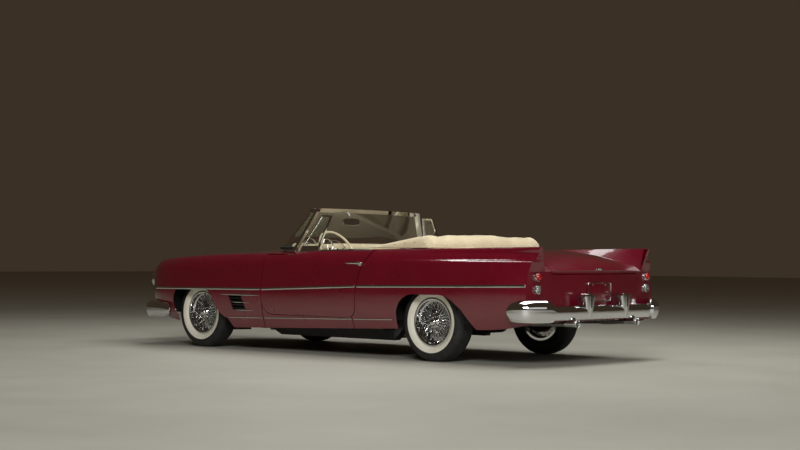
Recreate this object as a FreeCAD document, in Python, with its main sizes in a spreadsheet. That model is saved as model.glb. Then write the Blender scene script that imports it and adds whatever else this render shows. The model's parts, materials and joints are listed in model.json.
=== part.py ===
import FreeCAD, Part
import Sketcher
import math
import os
import re
from collections import namedtuple
from FreeCAD import Placement, Rotation, Vector

# A 1950s two-door convertible, in millimetres.
# The front faces -Y, the car's left side is +X, Z is up and the floor is Z = 0.
# The origin lies under the middle of the overall length and width.

doc = FreeCAD.newDocument("Convertible")
sheet = doc.addObject("Spreadsheet::Sheet", "Dims")

DIMENSIONS = [
    ("overall_length", 5169, "bumper to bumper"),
    ("wheelbase", 2921, "axle to axle"),
    ("front_overhang", 1029, "front bumper to front axle"),
    ("nose_inset", 90, "front bumper to the nose of the body"),
    ("tail_inset", 115, "rear bumper to the tail of the body"),
    ("half_width", 969, "centre plane to the widest line of the side"),
    ("sill_height", 237, "floor to the bottom of the body side"),
    ("crease_height", 601, "floor to the widest line of the side"),
    ("belt_height", 922, "floor to the top of the door"),
    ("skin", 8, "fender and quarter panel"),
    ("lid_skin", 24, "hood and trunk lid with their inner frames"),
    ("panel_gap", 6, "gap between two panels"),
    ("door_front", -473, "door's front edge from the middle of the wheelbase"),
    ("door_rear", 712, "door's rear edge at the crease"),
    ("door_bottom", 347, "floor to the bottom edge of the door"),
    ("door_inner", 800, "centre plane to the inner face of the door"),
    ("hood_half", 620, "half the width of the hood"),
    ("hood_front", 110, "hood's front edge behind the nose"),
    ("hood_rear", -760, "hood's rear edge from the middle of the wheelbase"),
    ("lid_half", 600, "half the width of the trunk lid"),
    ("lid_front", 1560, "trunk lid's front edge"),
    ("lid_bottom", 745, "floor to the trunk lid's lower edge"),
    ("cabin_front", -330, "front edge of the cabin opening"),
    ("cabin_rear", 880, "rear edge of the cabin opening"),
    ("cabin_half", 770, "half the width of the cabin opening"),
    ("floor_height", 250, "floor to the top of the floor pan"),
    ("trunk_height", 520, "floor to the top of the trunk floor"),
    ("pan", 10, "floor pan and bulkheads"),
    ("tyre_radius", 330, "loaded radius"),
    ("tyre_width", 198, "section width"),
    ("rim_radius", 190, "bead seat"),
    ("rim_width", 150, "over the flanges"),
    ("front_track", 1470, "front track"),
    ("rear_track", 1490, "rear track"),
    ("arch_radius", 408, "wheelhouse radius"),
    ("house_inner", 425, "centre plane to the front wheelhouse wall"),
    ("rear_house_inner", 600, "centre plane to the rear wheelhouse wall"),
    ("rail_width", 80, "frame rail"),
    ("rail_depth", 90, "frame rail"),
    ("rail_bottom", 150, "floor to the underside of the rails"),
    ("bumper_half", 988, "half the width over the bumpers"),
    ("bumper_thick", 24, "thickness of a bumper face bar"),
    ("wheel_x", 400, "steering wheel's centre from the centre plane"),
    ("wheel_y", -60, "steering wheel's centre from the middle of the wheelbase"),
    ("wheel_z", 917, "steering wheel's centre above the floor"),
    ("wheel_radius", 208, "to the middle of the rim's tube"),
    ("wheel_tube", 12, "radius of the rim's tube"),
    ("column_angle", 30, "column above the horizontal, degrees"),
    ("spoke_count", 20, "spokes in each row of a wire wheel"),
    ("spoke_radius", 2.6, "wire spoke"),
    ("kingpin_x", 610, "centre plane to the kingpin"),
    ("glass", 6, "windshield"),
]
for row, (alias, value, note) in enumerate(DIMENSIONS, start=1):
    sheet.set("A%d" % row, alias)
    sheet.set("B%d" % row, str(value))
    sheet.set("C%d" % row, note)
    sheet.setAlias("B%d" % row, alias)
doc.recompute()

names = {alias for alias, _, _ in DIMENSIONS}
D = namedtuple("Sizes", [a for a, _, _ in DIMENSIONS])(*[float(sheet.get(a)) for a, _, _ in DIMENSIONS])

front_axle = -D.overall_length / 2 + D.front_overhang
rear_axle = front_axle + D.wheelbase
mid = (front_axle + rear_axle) / 2
nose = -D.overall_length / 2 + D.nose_inset
tail = D.overall_length / 2 - D.tail_inset


def linked(text):
    """An expression with each size's name pointing at its cell."""
    return re.sub(r"[a-z_]+[a-z0-9_]*", lambda m: "Dims." + m.group(0) if m.group(0) in names else m.group(0), str(text))


def worth(text):
    """Value of an expression in the names of the sizes."""
    plain = re.sub(r"[a-z_]+[a-z0-9_]*", lambda m: repr(getattr(D, m.group(0))), str(text))
    return float(FreeCAD.Units.Quantity(plain))


FRONT = "(-overall_length/2 + front_overhang)"
REAR = "(-overall_length/2 + front_overhang + wheelbase)"
MID = "(-overall_length/2 + front_overhang + wheelbase/2)"
NOSE = "(-overall_length/2 + nose_inset)"
TAIL = "(overall_length/2 - tail_inset)"


def bind(obj, **cells):
    for prop, text in cells.items():
        obj.setExpression(prop.replace("__", "."), linked(text))
    return obj


parts = []


def keep(obj, label):
    obj.Label = label
    parts.append(obj)
    return obj


def box(x0, x1, y0, y1, z0, z1):
    obj = doc.addObject("Part::Box", "Block")
    return bind(obj, Length="(%s) - (%s)" % (x1, x0), Width="(%s) - (%s)" % (y1, y0),
                Height="(%s) - (%s)" % (z1, z0), Placement__Base__x=x0, Placement__Base__y=y0, Placement__Base__z=z0)


def cylinder(radius, length, x, y, z, axis):
    obj = doc.addObject("Part::Cylinder", "Round")
    turn = {"x": Rotation(Vector(0, 1, 0), 90), "y": Rotation(Vector(1, 0, 0), -90), "z": Rotation()}[axis]
    obj.Placement = Placement(Vector(), turn)
    return bind(obj, Radius=radius, Height=length, Placement__Base__x=x, Placement__Base__y=y, Placement__Base__z=z)


def boolean(kind, base, tool):
    obj = doc.addObject("Part::" + kind, kind)
    obj.Base, obj.Tool = base, tool
    return obj


def cut(base, *tools):
    for tool in tools:
        base = boolean("Cut", base, tool)
    return base


def common(base, *tools):
    for tool in tools:
        base = boolean("Common", base, tool)
    return base


def fuse(*shapes):
    obj = doc.addObject("Part::MultiFuse", "Join")
    obj.Shapes = list(shapes)
    return obj


def group(*shapes):
    obj = doc.addObject("Part::Compound", "Pair")
    obj.Links = list(shapes)
    return obj


def mirror(shape):
    obj = doc.addObject("Part::Mirroring", "Mirror")
    obj.Source = shape
    obj.Base, obj.Normal = Vector(), Vector(1, 0, 0)
    return obj


def free(shape, name="Form"):
    obj = doc.addObject("Part::Feature", name)
    obj.Shape = shape
    obj.Placement = Placement()
    return obj


def edges(points):
    """Closed outline: a point is a corner, a pair (via, end) is an arc from the corner before."""
    out, here = [], points[0]
    for p in list(points[1:]) + [points[0]]:
        if isinstance(p, tuple):
            out.append(Part.Arc(here, p[0], p[1]).toShape())
            here = p[1]
        else:
            if (p - here).Length > 1e-6:
                out.append(Part.LineSegment(here, p).toShape())
            here = p
    return Part.Wire(out)


def prism(points, along):
    return free(Part.Face(edges(points)).extrude(along), "Prism")


def side_prism(points, x0, x1, skew=0.0):
    """An outline given as (y from the middle of the wheelbase, z) and pushed along X; skew moves it back as it goes out."""
    def at(p):
        return Vector(x0, mid + p[0] + skew * (x0 - D.half_width), p[1])
    return prism([(at(p[0]), at(p[1])) if isinstance(p[0], tuple) else at(p) for p in points], Vector(x1 - x0, skew * (x1 - x0), 0))


# ---------------------------------------------------------------- body form
# Half sections of the outer surface, from the bottom of the side up and over to the centre.
# Heights belong to the reference levels and are stretched to the named ones.
Station = namedtuple("Station", "anchor offset sill_x sill_z flank_x flank_z crease_x crease_z upper_x upper_z "
                     "top_x top_z inner_x deck_x deck_z centre_z")
STATIONS = [
    Station("nose", 0, 470, 400, 530, 470, 560, 548, 562, 600, 525, 690, 500, 450, 690, 700),
    Station("nose", 100, 610, 350, 675, 440, 705, 551, 705, 650, 640, 765, 610, 560, 775, 790),
    Station("nose", 280, 760, 300, 830, 410, 857, 555, 855, 690, 775, 818, 730, 660, 828, 845),
    Station("front", -390, 850, 262, 915, 395, 935, 560, 925, 720, 830, 850, 790, 700, 860, 880),
    Station("front", 0, 890, 215, 940, 380, 957, 568, 944, 735, 845, 875, 800, 720, 885, 905),
    Station("front", 560, 905, 207, 952, 385, 966, 580, 950, 750, 850, 895, 805, 740, 905, 932),
    Station("middle", -450, 905, 220, 955, 390, 968, 589, 951, 760, 855, 905, 810, 760, 915, 955),
    Station("middle", 150, 905, 237, 956, 400, 969, 601, 950, 770, 862, 922, 815, 780, 925, 945),
    Station("middle", 800, 905, 257, 956, 420, 969, 614, 948, 780, 860, 934, 815, 780, 938, 950),
    Station("rear", -220, 900, 270, 955, 430, 968, 623, 945, 785, 850, 940, 808, 760, 940, 955),
    Station("rear", 440, 885, 285, 945, 440, 960, 636, 925, 800, 820, 948, 790, 720, 905, 945),
    Station("tail", -260, 860, 308, 915, 450, 930, 645, 892, 808, 795, 953, 772, 690, 850, 908),
    Station("tail", -110, 832, 337, 888, 459, 902, 647, 869, 800, 785, 955, 763, 686, 806, 862),
    Station("tail", 60, 800, 370, 855, 470, 868, 650, 842, 790, 772, 956, 752, 680, 640, 690),
]
ANCHORS = {"nose": nose, "front": front_axle, "middle": mid, "rear": rear_axle, "tail": tail}
REFERENCE_LEVELS = [0, 237, 601, 922, 1400]
LEVELS = [0, D.sill_height, D.crease_height, D.belt_height, D.belt_height + 478]
REFERENCE_HALF = 969


def level(z):
    for (a, b), (c, d) in zip(zip(REFERENCE_LEVELS, REFERENCE_LEVELS[1:]), zip(LEVELS, LEVELS[1:])):
        if z <= b:
            return c + (z - a) * (d - c) / (b - a)
    return z


def half(x):
    return x * D.half_width / REFERENCE_HALF


OPEN_BELOW = 70
RUN_ON = 0.1


def shoulder(crease, upper, top):
    """Middle of the arc that leaves the straight flank at its upper end and ends at the top edge."""
    flank = math.atan2(crease[0] - upper[0], upper[1] - crease[1])
    chord = math.atan2(upper[0] - top[0], top[1] - upper[1])
    length = math.hypot(upper[0] - top[0], top[1] - upper[1])
    rise = length / 2 * math.tan((chord - flank) / 2)
    return ((upper[0] + top[0]) / 2 + rise * math.cos(chord), (upper[1] + top[1]) / 2 + rise * math.sin(chord))


def section(st, y, inset, sealed):
    sill = (half(st.sill_x) - inset * 1.5, level(st.sill_z) + (inset if sealed else 0))
    flank = (half(st.flank_x) - inset, level(st.flank_z))
    if inset and not sealed:
        sill = tuple(low + (low - high) * RUN_ON for low, high in zip(sill, flank))
    crease = (half(st.crease_x) - inset, level(st.crease_z))
    upper = (half(st.upper_x) - inset, level(st.upper_z))
    top = (half(st.top_x) - inset * 0.6, level(st.top_z) - inset)
    inner = (half(st.inner_x) - inset * 0.4, level(st.top_z) + 3 - inset)
    deck = (half(st.deck_x) - inset * 0.4, level(st.deck_z) - inset)
    right = [Vector(x, y, z) for x, z in (sill, flank, crease, upper, shoulder(crease, upper, top), top, inner, deck)]
    left = [Vector(-p.x, p.y, p.z) for p in right]
    crown = Vector(0, y, level(st.centre_z) - inset)
    line, arc = Part.LineSegment, Part.Arc
    if inset and not sealed:
        # an inner form runs on past the sill and down, so that the skin is open underneath
        low = [p - Vector(0, 0, OPEN_BELOW) for p in (left[0], right[0])]
        curve = [line(left[0], low[0]), line(low[0], low[1]), line(low[1], right[0])]
    else:
        curve = [line(left[0], right[0])]
    curve += [arc(*right[0:3]), line(right[2], right[3]), arc(*right[3:6]),
              line(right[5], right[6]), line(right[6], right[7]), arc(right[7], crown, left[7]),
              line(left[7], left[6]), line(left[6], left[5]), arc(left[5], left[4], left[3]),
              line(left[3], left[2]), arc(left[2], left[1], left[0])]
    return Part.Wire([c.toShape() for c in curve])


TAIL_BOW = 70
TAIL_RAKE_FROM = 760
TAIL_RAKE = 0.2


def body_form(inset=0.0, sealed=False):
    wires = []
    for st in STATIONS:
        y = ANCHORS[st.anchor] + st.offset
        if st is STATIONS[0]:
            y += inset
        wires.append(section(st, y, inset, sealed))
    form = Part.makeLoft(wires, True, False)
    # the tail is bowed in plan and rakes back towards the fin tips
    reach = half(900)
    end = tail - inset
    z_rake = level(TAIL_RAKE_FROM)
    outline = [Vector(-reach, end - TAIL_BOW, 0), (Vector(0, end, 0), Vector(reach, end - TAIL_BOW, 0)),
               Vector(reach + 300, end - TAIL_BOW, 0), Vector(reach + 300, end + 400, 0),
               Vector(-reach - 300, end + 400, 0), Vector(-reach - 300, end - TAIL_BOW, 0)]
    face = Part.Face(edges(outline))
    low = face.extrude(Vector(0, 0, z_rake))
    rise = 400
    high = face.extrude(Vector(0, TAIL_RAKE * rise, rise))
    high.translate(Vector(0, 0, z_rake))
    return free(form.cut([low, high]), "BodyForm")


outer = body_form()
skin_core = body_form(D.skin)
lid_core = body_form(D.lid_skin)
shell = cut(outer, skin_core)

# door outline: dog-leg under the windshield's corner, slanted rear edge above the handle
g = D.panel_gap
df, dr, db = D.door_front, D.door_rear, D.door_bottom
notch_z = level(884)
notch_y = -112


def door_outline(grow, front=0):
    """Side outline grown by the gap all round; front moves only the front edge."""
    e = grow
    if front:
        return [(df + front, 1010), (df + front, db - e),
                (dr - 110, db - e), ((dr - 45 + e * 0.7, db + 30 - e * 0.7), (dr - 18 + e, db + 105)),
                (dr + e, 617), (dr + 30 + e, 750), (dr + 135 + e, 935 + e * 0.3), (dr + 165 + e, 1010)]
    return [(df - e, notch_z + e), (df - e, 480), ((df + 35 - e * 0.8, 388 - e * 0.8), (df + 140, db - e)),
            (dr - 110, db - e), ((dr - 45 + e * 0.7, db + 30 - e * 0.7), (dr - 18 + e, db + 105)),
            (dr + e, 617), (dr + 30 + e, 750), (dr + 135 + e, 935 + e * 0.3), (dr + 165 + e, 1010),
            (notch_y - e, 1010), (notch_y - e, notch_z + e)]


# wheel openings in the side: (y from the middle of the wheelbase, z)
front_arch = [(-1664, 120), (-1678, 219), (-1742, 340), ((-1752, 420), (-1738, 480)), ((-1708, 535), (-1650, 551)),
              (-1290, 551), ((-1210, 535), (-1165, 470)), (-1083, 360), ((-1020, 312), (-962, 290)), (-840, 120)]
rear_arch = [(1150, 120), (1148, 330), (1161, 404), ((1185, 465), (1225, 508)), ((1290, 548), (1400, 562)),
             (1600, 562), ((1730, 545), (1800, 505)), (1868, 451), ((1925, 370), (1985, 285)), (2060, 120)]


def moved(points, shift):
    def one(p):
        return (p[0] + shift, level(p[1]))
    return [(one(p[0]), one(p[1])) if isinstance(p[0], tuple) else one(p) for p in points]


REF_HALF_BASE = 1460.5
front_shift = (front_axle - mid) + REF_HALF_BASE
rear_shift = (rear_axle - mid) - REF_HALF_BASE
front_hole = side_prism(moved(front_arch, front_shift), 300, 1150)
rear_hole = side_prism(moved(rear_arch, rear_shift), 300, 1150)
# the steered tyre's shoulder sweeps a ball about the kingpin
SHOULDER_OUT, SHOULDER_UP, STEER_GAP = 0.34, 0.976, 5.5
steer_room = bind(doc.addObject("Part::Sphere", "SteerRoom"), Placement__Base__x="kingpin_x", Placement__Base__y=FRONT, Placement__Base__z="tyre_radius",
                  Radius="sqrt((front_track/2 - kingpin_x + tyre_width*%s)^2 + (tyre_radius*%s)^2) + %s" % (SHOULDER_OUT, SHOULDER_UP, STEER_GAP))


def block(x0, x1, y0, y1, z0, z1):
    return free(Part.makeBox(x1 - x0, y1 - y0, z1 - z0, Vector(x0, y0, z0)), "Zone")


# --------------------------------------------------------- outer panels
hood_y0, hood_y1 = nose + D.hood_front, mid + D.hood_rear
hood_zone = block(-D.hood_half, D.hood_half, hood_y0, hood_y1, level(640), 1400)
keep(common(cut(outer, lid_core), hood_zone), "hood")

nose_zone = block(-1100, 1100, nose - 50, hood_y0 - g, 0, 1400)
nose_panel = common(shell, nose_zone)


def mouth(inset, y, depth):
    """The grille's opening: straight above and below, round at both ends."""
    reach, low, high = MOUTH_HALF, level(MOUTH_LOW) + inset, level(MOUTH_HIGH) - inset
    tip = Vector(reach + MOUTH_END - inset, y, (low + high) / 2)
    return prism([Vector(-reach, y, low), Vector(reach, y, low), (tip, Vector(reach, y, high)),
                  Vector(-reach, y, high), (Vector(-tip.x, y, tip.z), Vector(-reach, y, low))], Vector(0, depth, 0))


MOUTH_HALF, MOUTH_END, MOUTH_LOW, MOUTH_HIGH = 372, 66, 440, 635
HEADLAMP_X, HEADLAMP_Z, HEADLAMP_RADIUS = half(575), level(640), 97
lamp_holes = [cylinder(str(HEADLAMP_RADIUS + 0.4), "190", str(x), NOSE + " - 60", str(HEADLAMP_Z), "y")
              for x in (HEADLAMP_X, -HEADLAMP_X)]
nose_panel = keep(cut(nose_panel, mouth(0, nose - 60, 120), *lamp_holes), "nose_panel")

fender_zone = block(D.hood_half + g, 1100, hood_y0 - g, mid + df - g, 0, 1400)
SLOT = [(-931, 514), (-752, 514), (-690, 373), (-868, 373)]
vent_hole = side_prism(SLOT, 800, 1100)
front_fender_left = keep(cut(common(shell, fender_zone), front_hole, vent_hole, steer_room), "front_fender_left")
front_fender_right = keep(mirror(front_fender_left), "front_fender_right")

# cowl: across the car behind the hood, with ears that run back over the doors to the pillars
cowl_main = block(-D.hood_half, D.hood_half, hood_y1 + g, mid + notch_y - g, level(780), 1400)
cowl_ears = block(-1100, 1100, mid + df, mid + notch_y - g, notch_z + g, 1400)
cabin_zone = block(-D.cabin_half, D.cabin_half, mid + D.cabin_front, mid + D.cabin_rear, 0, 1400)
HINGE_GAP = 0.3
hood_leaves = [block(x - 35, x + 35, hood_y1 + HINGE_GAP, hood_y1 + g + 10, level(903), level(915)) for x in (430, -430)]
cowl_panel = keep(fuse(cut(common(cut(outer, lid_core), fuse(cowl_main, cowl_ears)), cabin_zone), *hood_leaves), "cowl_panel")

# rear quarters, from the door back to the tail lamps
seam_x = D.cabin_half + 20
quarter_zone = fuse(block(seam_x, 1100, mid + 200, mid + D.lid_front + 40, 0, 1400),
                    block(D.lid_half + g, 1100, mid + D.lid_front, tail + 200, 0, 1400))
door_cut = side_prism(door_outline(g), 500, 1150)
under_door = block(500, 1150, mid - 900, mid + dr - 60, 0, 1400)
TAIL_LAMP_AT, REVERSE_LAMP_AT = (half(776), level(720)), (half(774), level(621))
lamp_holes = [cylinder(str(radius + 0.4), "200", str(at[0]), str(tail - 200), str(at[1]), "y")
              for at, radius in ((TAIL_LAMP_AT, 38), (REVERSE_LAMP_AT, 40))]
rear_quarter_left = keep(cut(common(shell, quarter_zone), door_cut, rear_hole, under_door, *lamp_holes), "rear_quarter_left")
keep(mirror(rear_quarter_left), "rear_quarter_right")

lid_zone = block(-D.lid_half, D.lid_half, mid + D.lid_front, tail + 200, level(D.lid_bottom), 1400)
keep(common(cut(outer, lid_core), lid_zone), "trunk_lid")
tail_zone = block(-D.lid_half - g, D.lid_half + g, tail - 260, tail + 200, 0, level(D.lid_bottom) - g)
iron_zone = [(x - 25, x + 25) for x in (520, -520)]
IRON_Z = (390, 430)
iron_holes = [block(a - 4, b + 4, tail - 200, tail + 50, IRON_Z[0] - 4, IRON_Z[1] + 4) for a, b in iron_zone]
PIPE_TIP_X, PIPE_TIP_Z = 427, 345
tail_pipe_room = [block(x - 34, x + 34, tail - 200, tail + 50, 0, PIPE_TIP_Z + 32) for x in (PIPE_TIP_X, -PIPE_TIP_X)]
PLATE_Z, BOLT_X, BOLT_Z, BOLT_RADIUS = 594.5, 88.9, 60.325, 3.5
plate_bolts = [cylinder(str(BOLT_RADIUS), "80", str(x), TAIL + " - 30", str(level(PLATE_Z) + z), "y")
               for x in (BOLT_X, -BOLT_X) for z in (BOLT_Z, -BOLT_Z)]
keep(cut(common(shell, tail_zone), *(iron_holes + tail_pipe_room + plate_bolts)), "tail_panel")
deck_zone = block(-seam_x, seam_x, mid + D.cabin_rear, mid + D.lid_front - g, level(860), 1400)
lid_leaves = [block(x - 35, x + 35, mid + D.lid_front - g - 8, mid + D.lid_front - HINGE_GAP, level(935), level(944)) for x in (380, -380)]
keep(fuse(common(shell, deck_zone), *lid_leaves), "deck_panel")

# doors: whole thickness, flat inner face
# the rear face is bevelled inwards so that its inner corner swings clear of the lock post
DOOR_BEVEL = 0.12
door_body = side_prism(door_outline(0), D.door_inner, 1150)
door_wedge = side_prism(door_outline(0, front=-100), D.door_inner, 1150, skew=DOOR_BEVEL)
door_left = keep(common(outer, door_body, door_wedge), "door_left")
keep(mirror(door_left), "door_right")

# sills under the doors
sill_left = cut(common(outer, block(D.door_inner - 30, 1100, mid + df - 2 + g, mid + dr - 66, 0, 470)), door_cut)
keep(group(sill_left, mirror(sill_left)), "sills")

# door posts: the hinge post with its two leaves in front of the door, the lock post behind it
post_core = skin_core
hinge_post = common(block(D.door_inner - 30, 1100, mid + df - 90, mid + df - g, level(215), level(896)), post_core)
leaves = [block(D.door_inner + 30, D.door_inner + 90, mid + df - g - 4, mid + df - HINGE_GAP, level(z), level(z + 60)) for z in (450, 740)]
lock_zone = common(block(D.door_inner - 30, 1100, mid + dr - 180, mid + D.cabin_rear - D.pan - 1, level(262), level(905)), post_core)
lock_post = cut(lock_zone, door_cut, sill_left)
posts = [fuse(hinge_post, *leaves), lock_post]
keep(group(*(posts + [mirror(p) for p in posts])), "door_posts")

# ------------------------------------------------------------- windshield
# Wrap-round glass between a base curve and a header curve, each given from the
# left corner to the right: (x, y from the middle of the wheelbase, z).
SCREEN_BASE = [(848, -135, 946), (800, -330, 950), (640, -505, 956), (0, -650, 968)]
SCREEN_HEAD = [(672, -46, 1278), (632, -170, 1284), (500, -262, 1292), (0, -330, 1304)]
SCREEN_NORMAL = [(0.98, -0.2), (0.86, -0.5), (0.4, -0.92), (0, -1)]


def screen_path(t, out):
    """Points of the glass at t (0 base, 1 header), all in one sloping plane, moved out from the glass."""
    middle = [[b + (h - b) * t for b, h in zip(base, head)] for base, head in zip(SCREEN_BASE, SCREEN_HEAD)]
    corner, crown = middle[0], middle[-1]
    slope = (level(crown[2]) - level(corner[2])) / (crown[1] - corner[1])
    pts = []
    for (x, y, z), normal in zip(middle, SCREEN_NORMAL):
        y += normal[1] * out
        pts.append(Vector(half(x) + normal[0] * out, mid + y, level(corner[2]) + slope * (y - corner[1])))
    return pts + [Vector(-p.x, p.y, p.z) for p in reversed(pts[:-1])]


def screen_band(t, out, inner, lift=0.0):
    a, b = screen_path(t, out), screen_path(t, inner)
    ring = [Part.Arc(a[0], a[1], a[2]), Part.Arc(a[2], a[3], a[4]), Part.Arc(a[4], a[5], a[6]),
            Part.LineSegment(a[6], b[6]), Part.Arc(b[6], b[5], b[4]), Part.Arc(b[4], b[3], b[2]),
            Part.Arc(b[2], b[1], b[0]), Part.LineSegment(b[0], a[0])]
    wire = Part.Wire([e.toShape() for e in ring])
    wire.translate(Vector(0, 0, lift))
    return wire


def screen_piece(t0, t1, out, inner, drop=0.0, rise=0.0):
    return Part.makeLoft([screen_band(t0, out, inner, -drop), screen_band(t1, out, inner, rise)], True, True)


def bar(p0, p1, width, depth):
    """Straight square bar between two points, its section level at both ends."""
    def ring(p):
        w, d = width / 2, depth / 2
        c = [Vector(p.x - w, p.y - d, p.z), Vector(p.x + w, p.y - d, p.z),
             Vector(p.x + w, p.y + d, p.z), Vector(p.x - w, p.y + d, p.z)]
        return Part.makePolygon(c + [c[0]])
    return Part.makeLoft([ring(p0), ring(p1)], True, True)


RAIL_OUT, RAIL_IN = 13, 13
glass_solid = screen_piece(0, 1, D.glass / 2, -D.glass / 2)
windshield_glass = keep(free(glass_solid, "Windshield"), "windshield_glass")
base_rail = screen_piece(-0.005, 0.03, RAIL_OUT, -RAIL_IN, drop=34)
head_rail = screen_piece(0.955, 1.0, RAIL_OUT, -RAIL_IN, rise=20)
foot, top = screen_path(-0.1, 0)[0], screen_path(1.0, 0)[0]
pillar_left = bar(foot + Vector(4, 0, 0), top + Vector(4, 6, 18), 34, 36)
frame_solid = free(base_rail, "BaseRail"), free(head_rail, "HeaderRail"), free(pillar_left, "Pillar")
windshield_frame = keep(cut(fuse(frame_solid[0], frame_solid[1], frame_solid[2], mirror(frame_solid[2])),
                            windshield_glass, cowl_panel, front_fender_left, front_fender_right), "windshield_frame")

# vent windows stand on the doors and lean in with the pillars
VENT = [(-78, 951), (140, 951), (150, 1240), (28, 1246)]
VENT_FOOT, VENT_LEAN = 838, 0.515


def vent_prism(points, thick, shift):
    pts = [Vector(half(VENT_FOOT - (z - 951) * VENT_LEAN) + shift, mid + y, level(z)) for y, z in points]
    return prism(pts, Vector(thick, 0, 0))


vent_hole_pts = [(-58, 966), (126, 966), (135, 1226), (38, 1231)]
vent_foot = [(-78, 895), (140, 895), (140, 960), (-78, 960)]
vent_frame_solid = cut(vent_prism(VENT, 18, -9), vent_prism(vent_hole_pts, 60, -30))
vent_foot_solid = cut(vent_prism(vent_foot, 18, -9), outer)
vent_frame_left = keep(fuse(vent_frame_solid, vent_foot_solid), "vent_frame_left")
keep(mirror(vent_frame_left), "vent_frame_right")
vent_glass_left = keep(vent_prism(vent_hole_pts, 5, -2.5), "vent_glass_left")
keep(mirror(vent_glass_left), "vent_glass_right")

# ------------------------------------------------------------ under the body
# the bumpers' ends, from the middle of the wheelbase at the reference length
REAR_END, FRONT_END = 2679.5, -2489.5


def rear_y(y):
    """Y of something that keeps its place from the rear bumper."""
    return y - REAR_END + D.overall_length / 2


def front_y(y):
    """Y of something that keeps its place from the front bumper."""
    return y - FRONT_END - D.overall_length / 2


def sweep_rail(points, width, depth):
    """Box rail along a bent line of (x, y, z of its underside)."""
    pts = [Vector(*p) for p in points]
    first = pts[0]
    sec = Part.makePolygon([first + Vector(-width / 2, 0, 0), first + Vector(width / 2, 0, 0),
                            first + Vector(width / 2, 0, depth), first + Vector(-width / 2, 0, depth),
                            first + Vector(-width / 2, 0, 0)])
    rings = []
    for p in pts:
        ring = sec.copy()
        ring.translate(p - first)
        rings.append(ring)
    return Part.makeLoft(rings, True, True)


rb = D.rail_bottom
# exhaust: two pipes through holes in the cross members, over the axle and out under the bumper
PIPE_RADIUS, PIPE_FIT = 24, 0.5
pipe_line = [(430, mid - 900, 195), (430, rear_axle - 420, 195), (405, rear_axle - 160, 440), (405, rear_axle + 200, 440),
             (PIPE_TIP_X, rear_axle + 560, 330), (PIPE_TIP_X, rear_y(2650), PIPE_TIP_Z)]


def pipe(side, radius=PIPE_RADIUS):
    rings = []
    for x, y, z in pipe_line:
        ring = [Vector(side * x + radius * math.cos(k * math.pi / 4), y, z + radius * math.sin(k * math.pi / 4)) for k in range(9)]
        rings.append(Part.makePolygon(ring))
    return free(Part.makeLoft(rings, True, True), "Pipe")


pipes = [pipe(side) for side in (1, -1)]
pipe_room = [pipe(side, PIPE_RADIUS + PIPE_FIT) for side in (1, -1)]
keep(group(*pipes), "exhaust_pipes")

# the rails run narrow by the engine, wide under the doors and up over the rear axle
FRONT_RAIL_X, SIDE_RAIL_X, AXLE_RAIL_X, TAIL_RAIL_X = 345, 625, 480, 520
FRONT_RISE, KICK_UP, TAIL_RISE = 130, 262, 190
rail_line = [(FRONT_RAIL_X, nose + 190, rb + FRONT_RISE), (FRONT_RAIL_X, front_axle + 330, rb + FRONT_RISE),
             (SIDE_RAIL_X, mid + D.cabin_front - 190, rb), (SIDE_RAIL_X, mid + D.cabin_rear + 10, rb),
             (AXLE_RAIL_X, mid + D.cabin_rear + 150, rb + KICK_UP), (AXLE_RAIL_X, rear_axle + 560, rb + KICK_UP),
             (TAIL_RAIL_X, rear_axle + 780, rb + TAIL_RISE), (TAIL_RAIL_X, tail - 90, rb + TAIL_RISE)]
rail_solid = free(sweep_rail(rail_line, D.rail_width, D.rail_depth), "Rail")
cross = []
for y, z, reach in [(nose + 230, rb + FRONT_RISE, FRONT_RAIL_X), (front_axle + 90, rb + 62, FRONT_RAIL_X), (mid - 250, rb, SIDE_RAIL_X),
                    (mid + 620, rb, SIDE_RAIL_X), (tail - 180, rb + TAIL_RISE, TAIL_RAIL_X)]:
    cross.append(block(-reach, reach, y - 40, y + 40, z, z + D.rail_depth))
frame_rails = keep(cut(fuse(rail_solid, mirror(rail_solid), *cross), *pipe_room), "frame_rails")

pan_z = D.floor_height
floor_main = box("-door_inner + 30.3", "door_inner - 30.3", MID + " + cabin_front - 180", MID + " + cabin_rear - pan", "floor_height - pan", "floor_height")
tunnel_hole = box("-130", "130", MID + " - 600", MID + " + cabin_rear", "0", "floor_height")
tunnel_top = cut(box("-140", "140", MID + " + cabin_front - 180", MID + " + cabin_rear - pan", "floor_height", "floor_height + 110"),
                 box("-130", "130", MID + " - 600", MID + " + cabin_rear", "0", "floor_height + 100"))
keep(fuse(cut(floor_main, tunnel_hole), tunnel_top), "floor_pan")
rear_bulkhead = box("-door_inner + 12", "door_inner - 12", MID + " + cabin_rear - pan", MID + " + cabin_rear", "floor_height - pan", "900")
trunk_pan = box("-rear_house_inner + 12", "rear_house_inner - 12", MID + " + cabin_rear", TAIL + " - 130", "trunk_height - pan", "trunk_height")
keep(fuse(common(rear_bulkhead, skin_core), common(trunk_pan, skin_core)), "trunk_floor")
keep(common(cut(box("-door_inner + 32", "door_inner - 32", MID + " + cabin_front - 190", MID + " + cabin_front - 180", "floor_height - pan", "907"),
                box("-140", "140", MID + " - 600", MID + " - 400", "0", "floor_height + 110")), lid_core), "firewall")

# wheelhouses: half tubs over the tyres
def tub(y, x0, x1):
    drum = cylinder("arch_radius", "%s - (%s)" % (x1, x0), x0, y, "tyre_radius", "x")
    hollow = cylinder("arch_radius - 6", "half_width", "%s + 6" % x0, y, "tyre_radius", "x")
    zone = box("0", "half_width", "(%s) - 500" % y, "(%s) + 500" % y, "tyre_radius", "tyre_radius + 500")
    return common(cut(drum, hollow), zone, skin_core)


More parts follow.
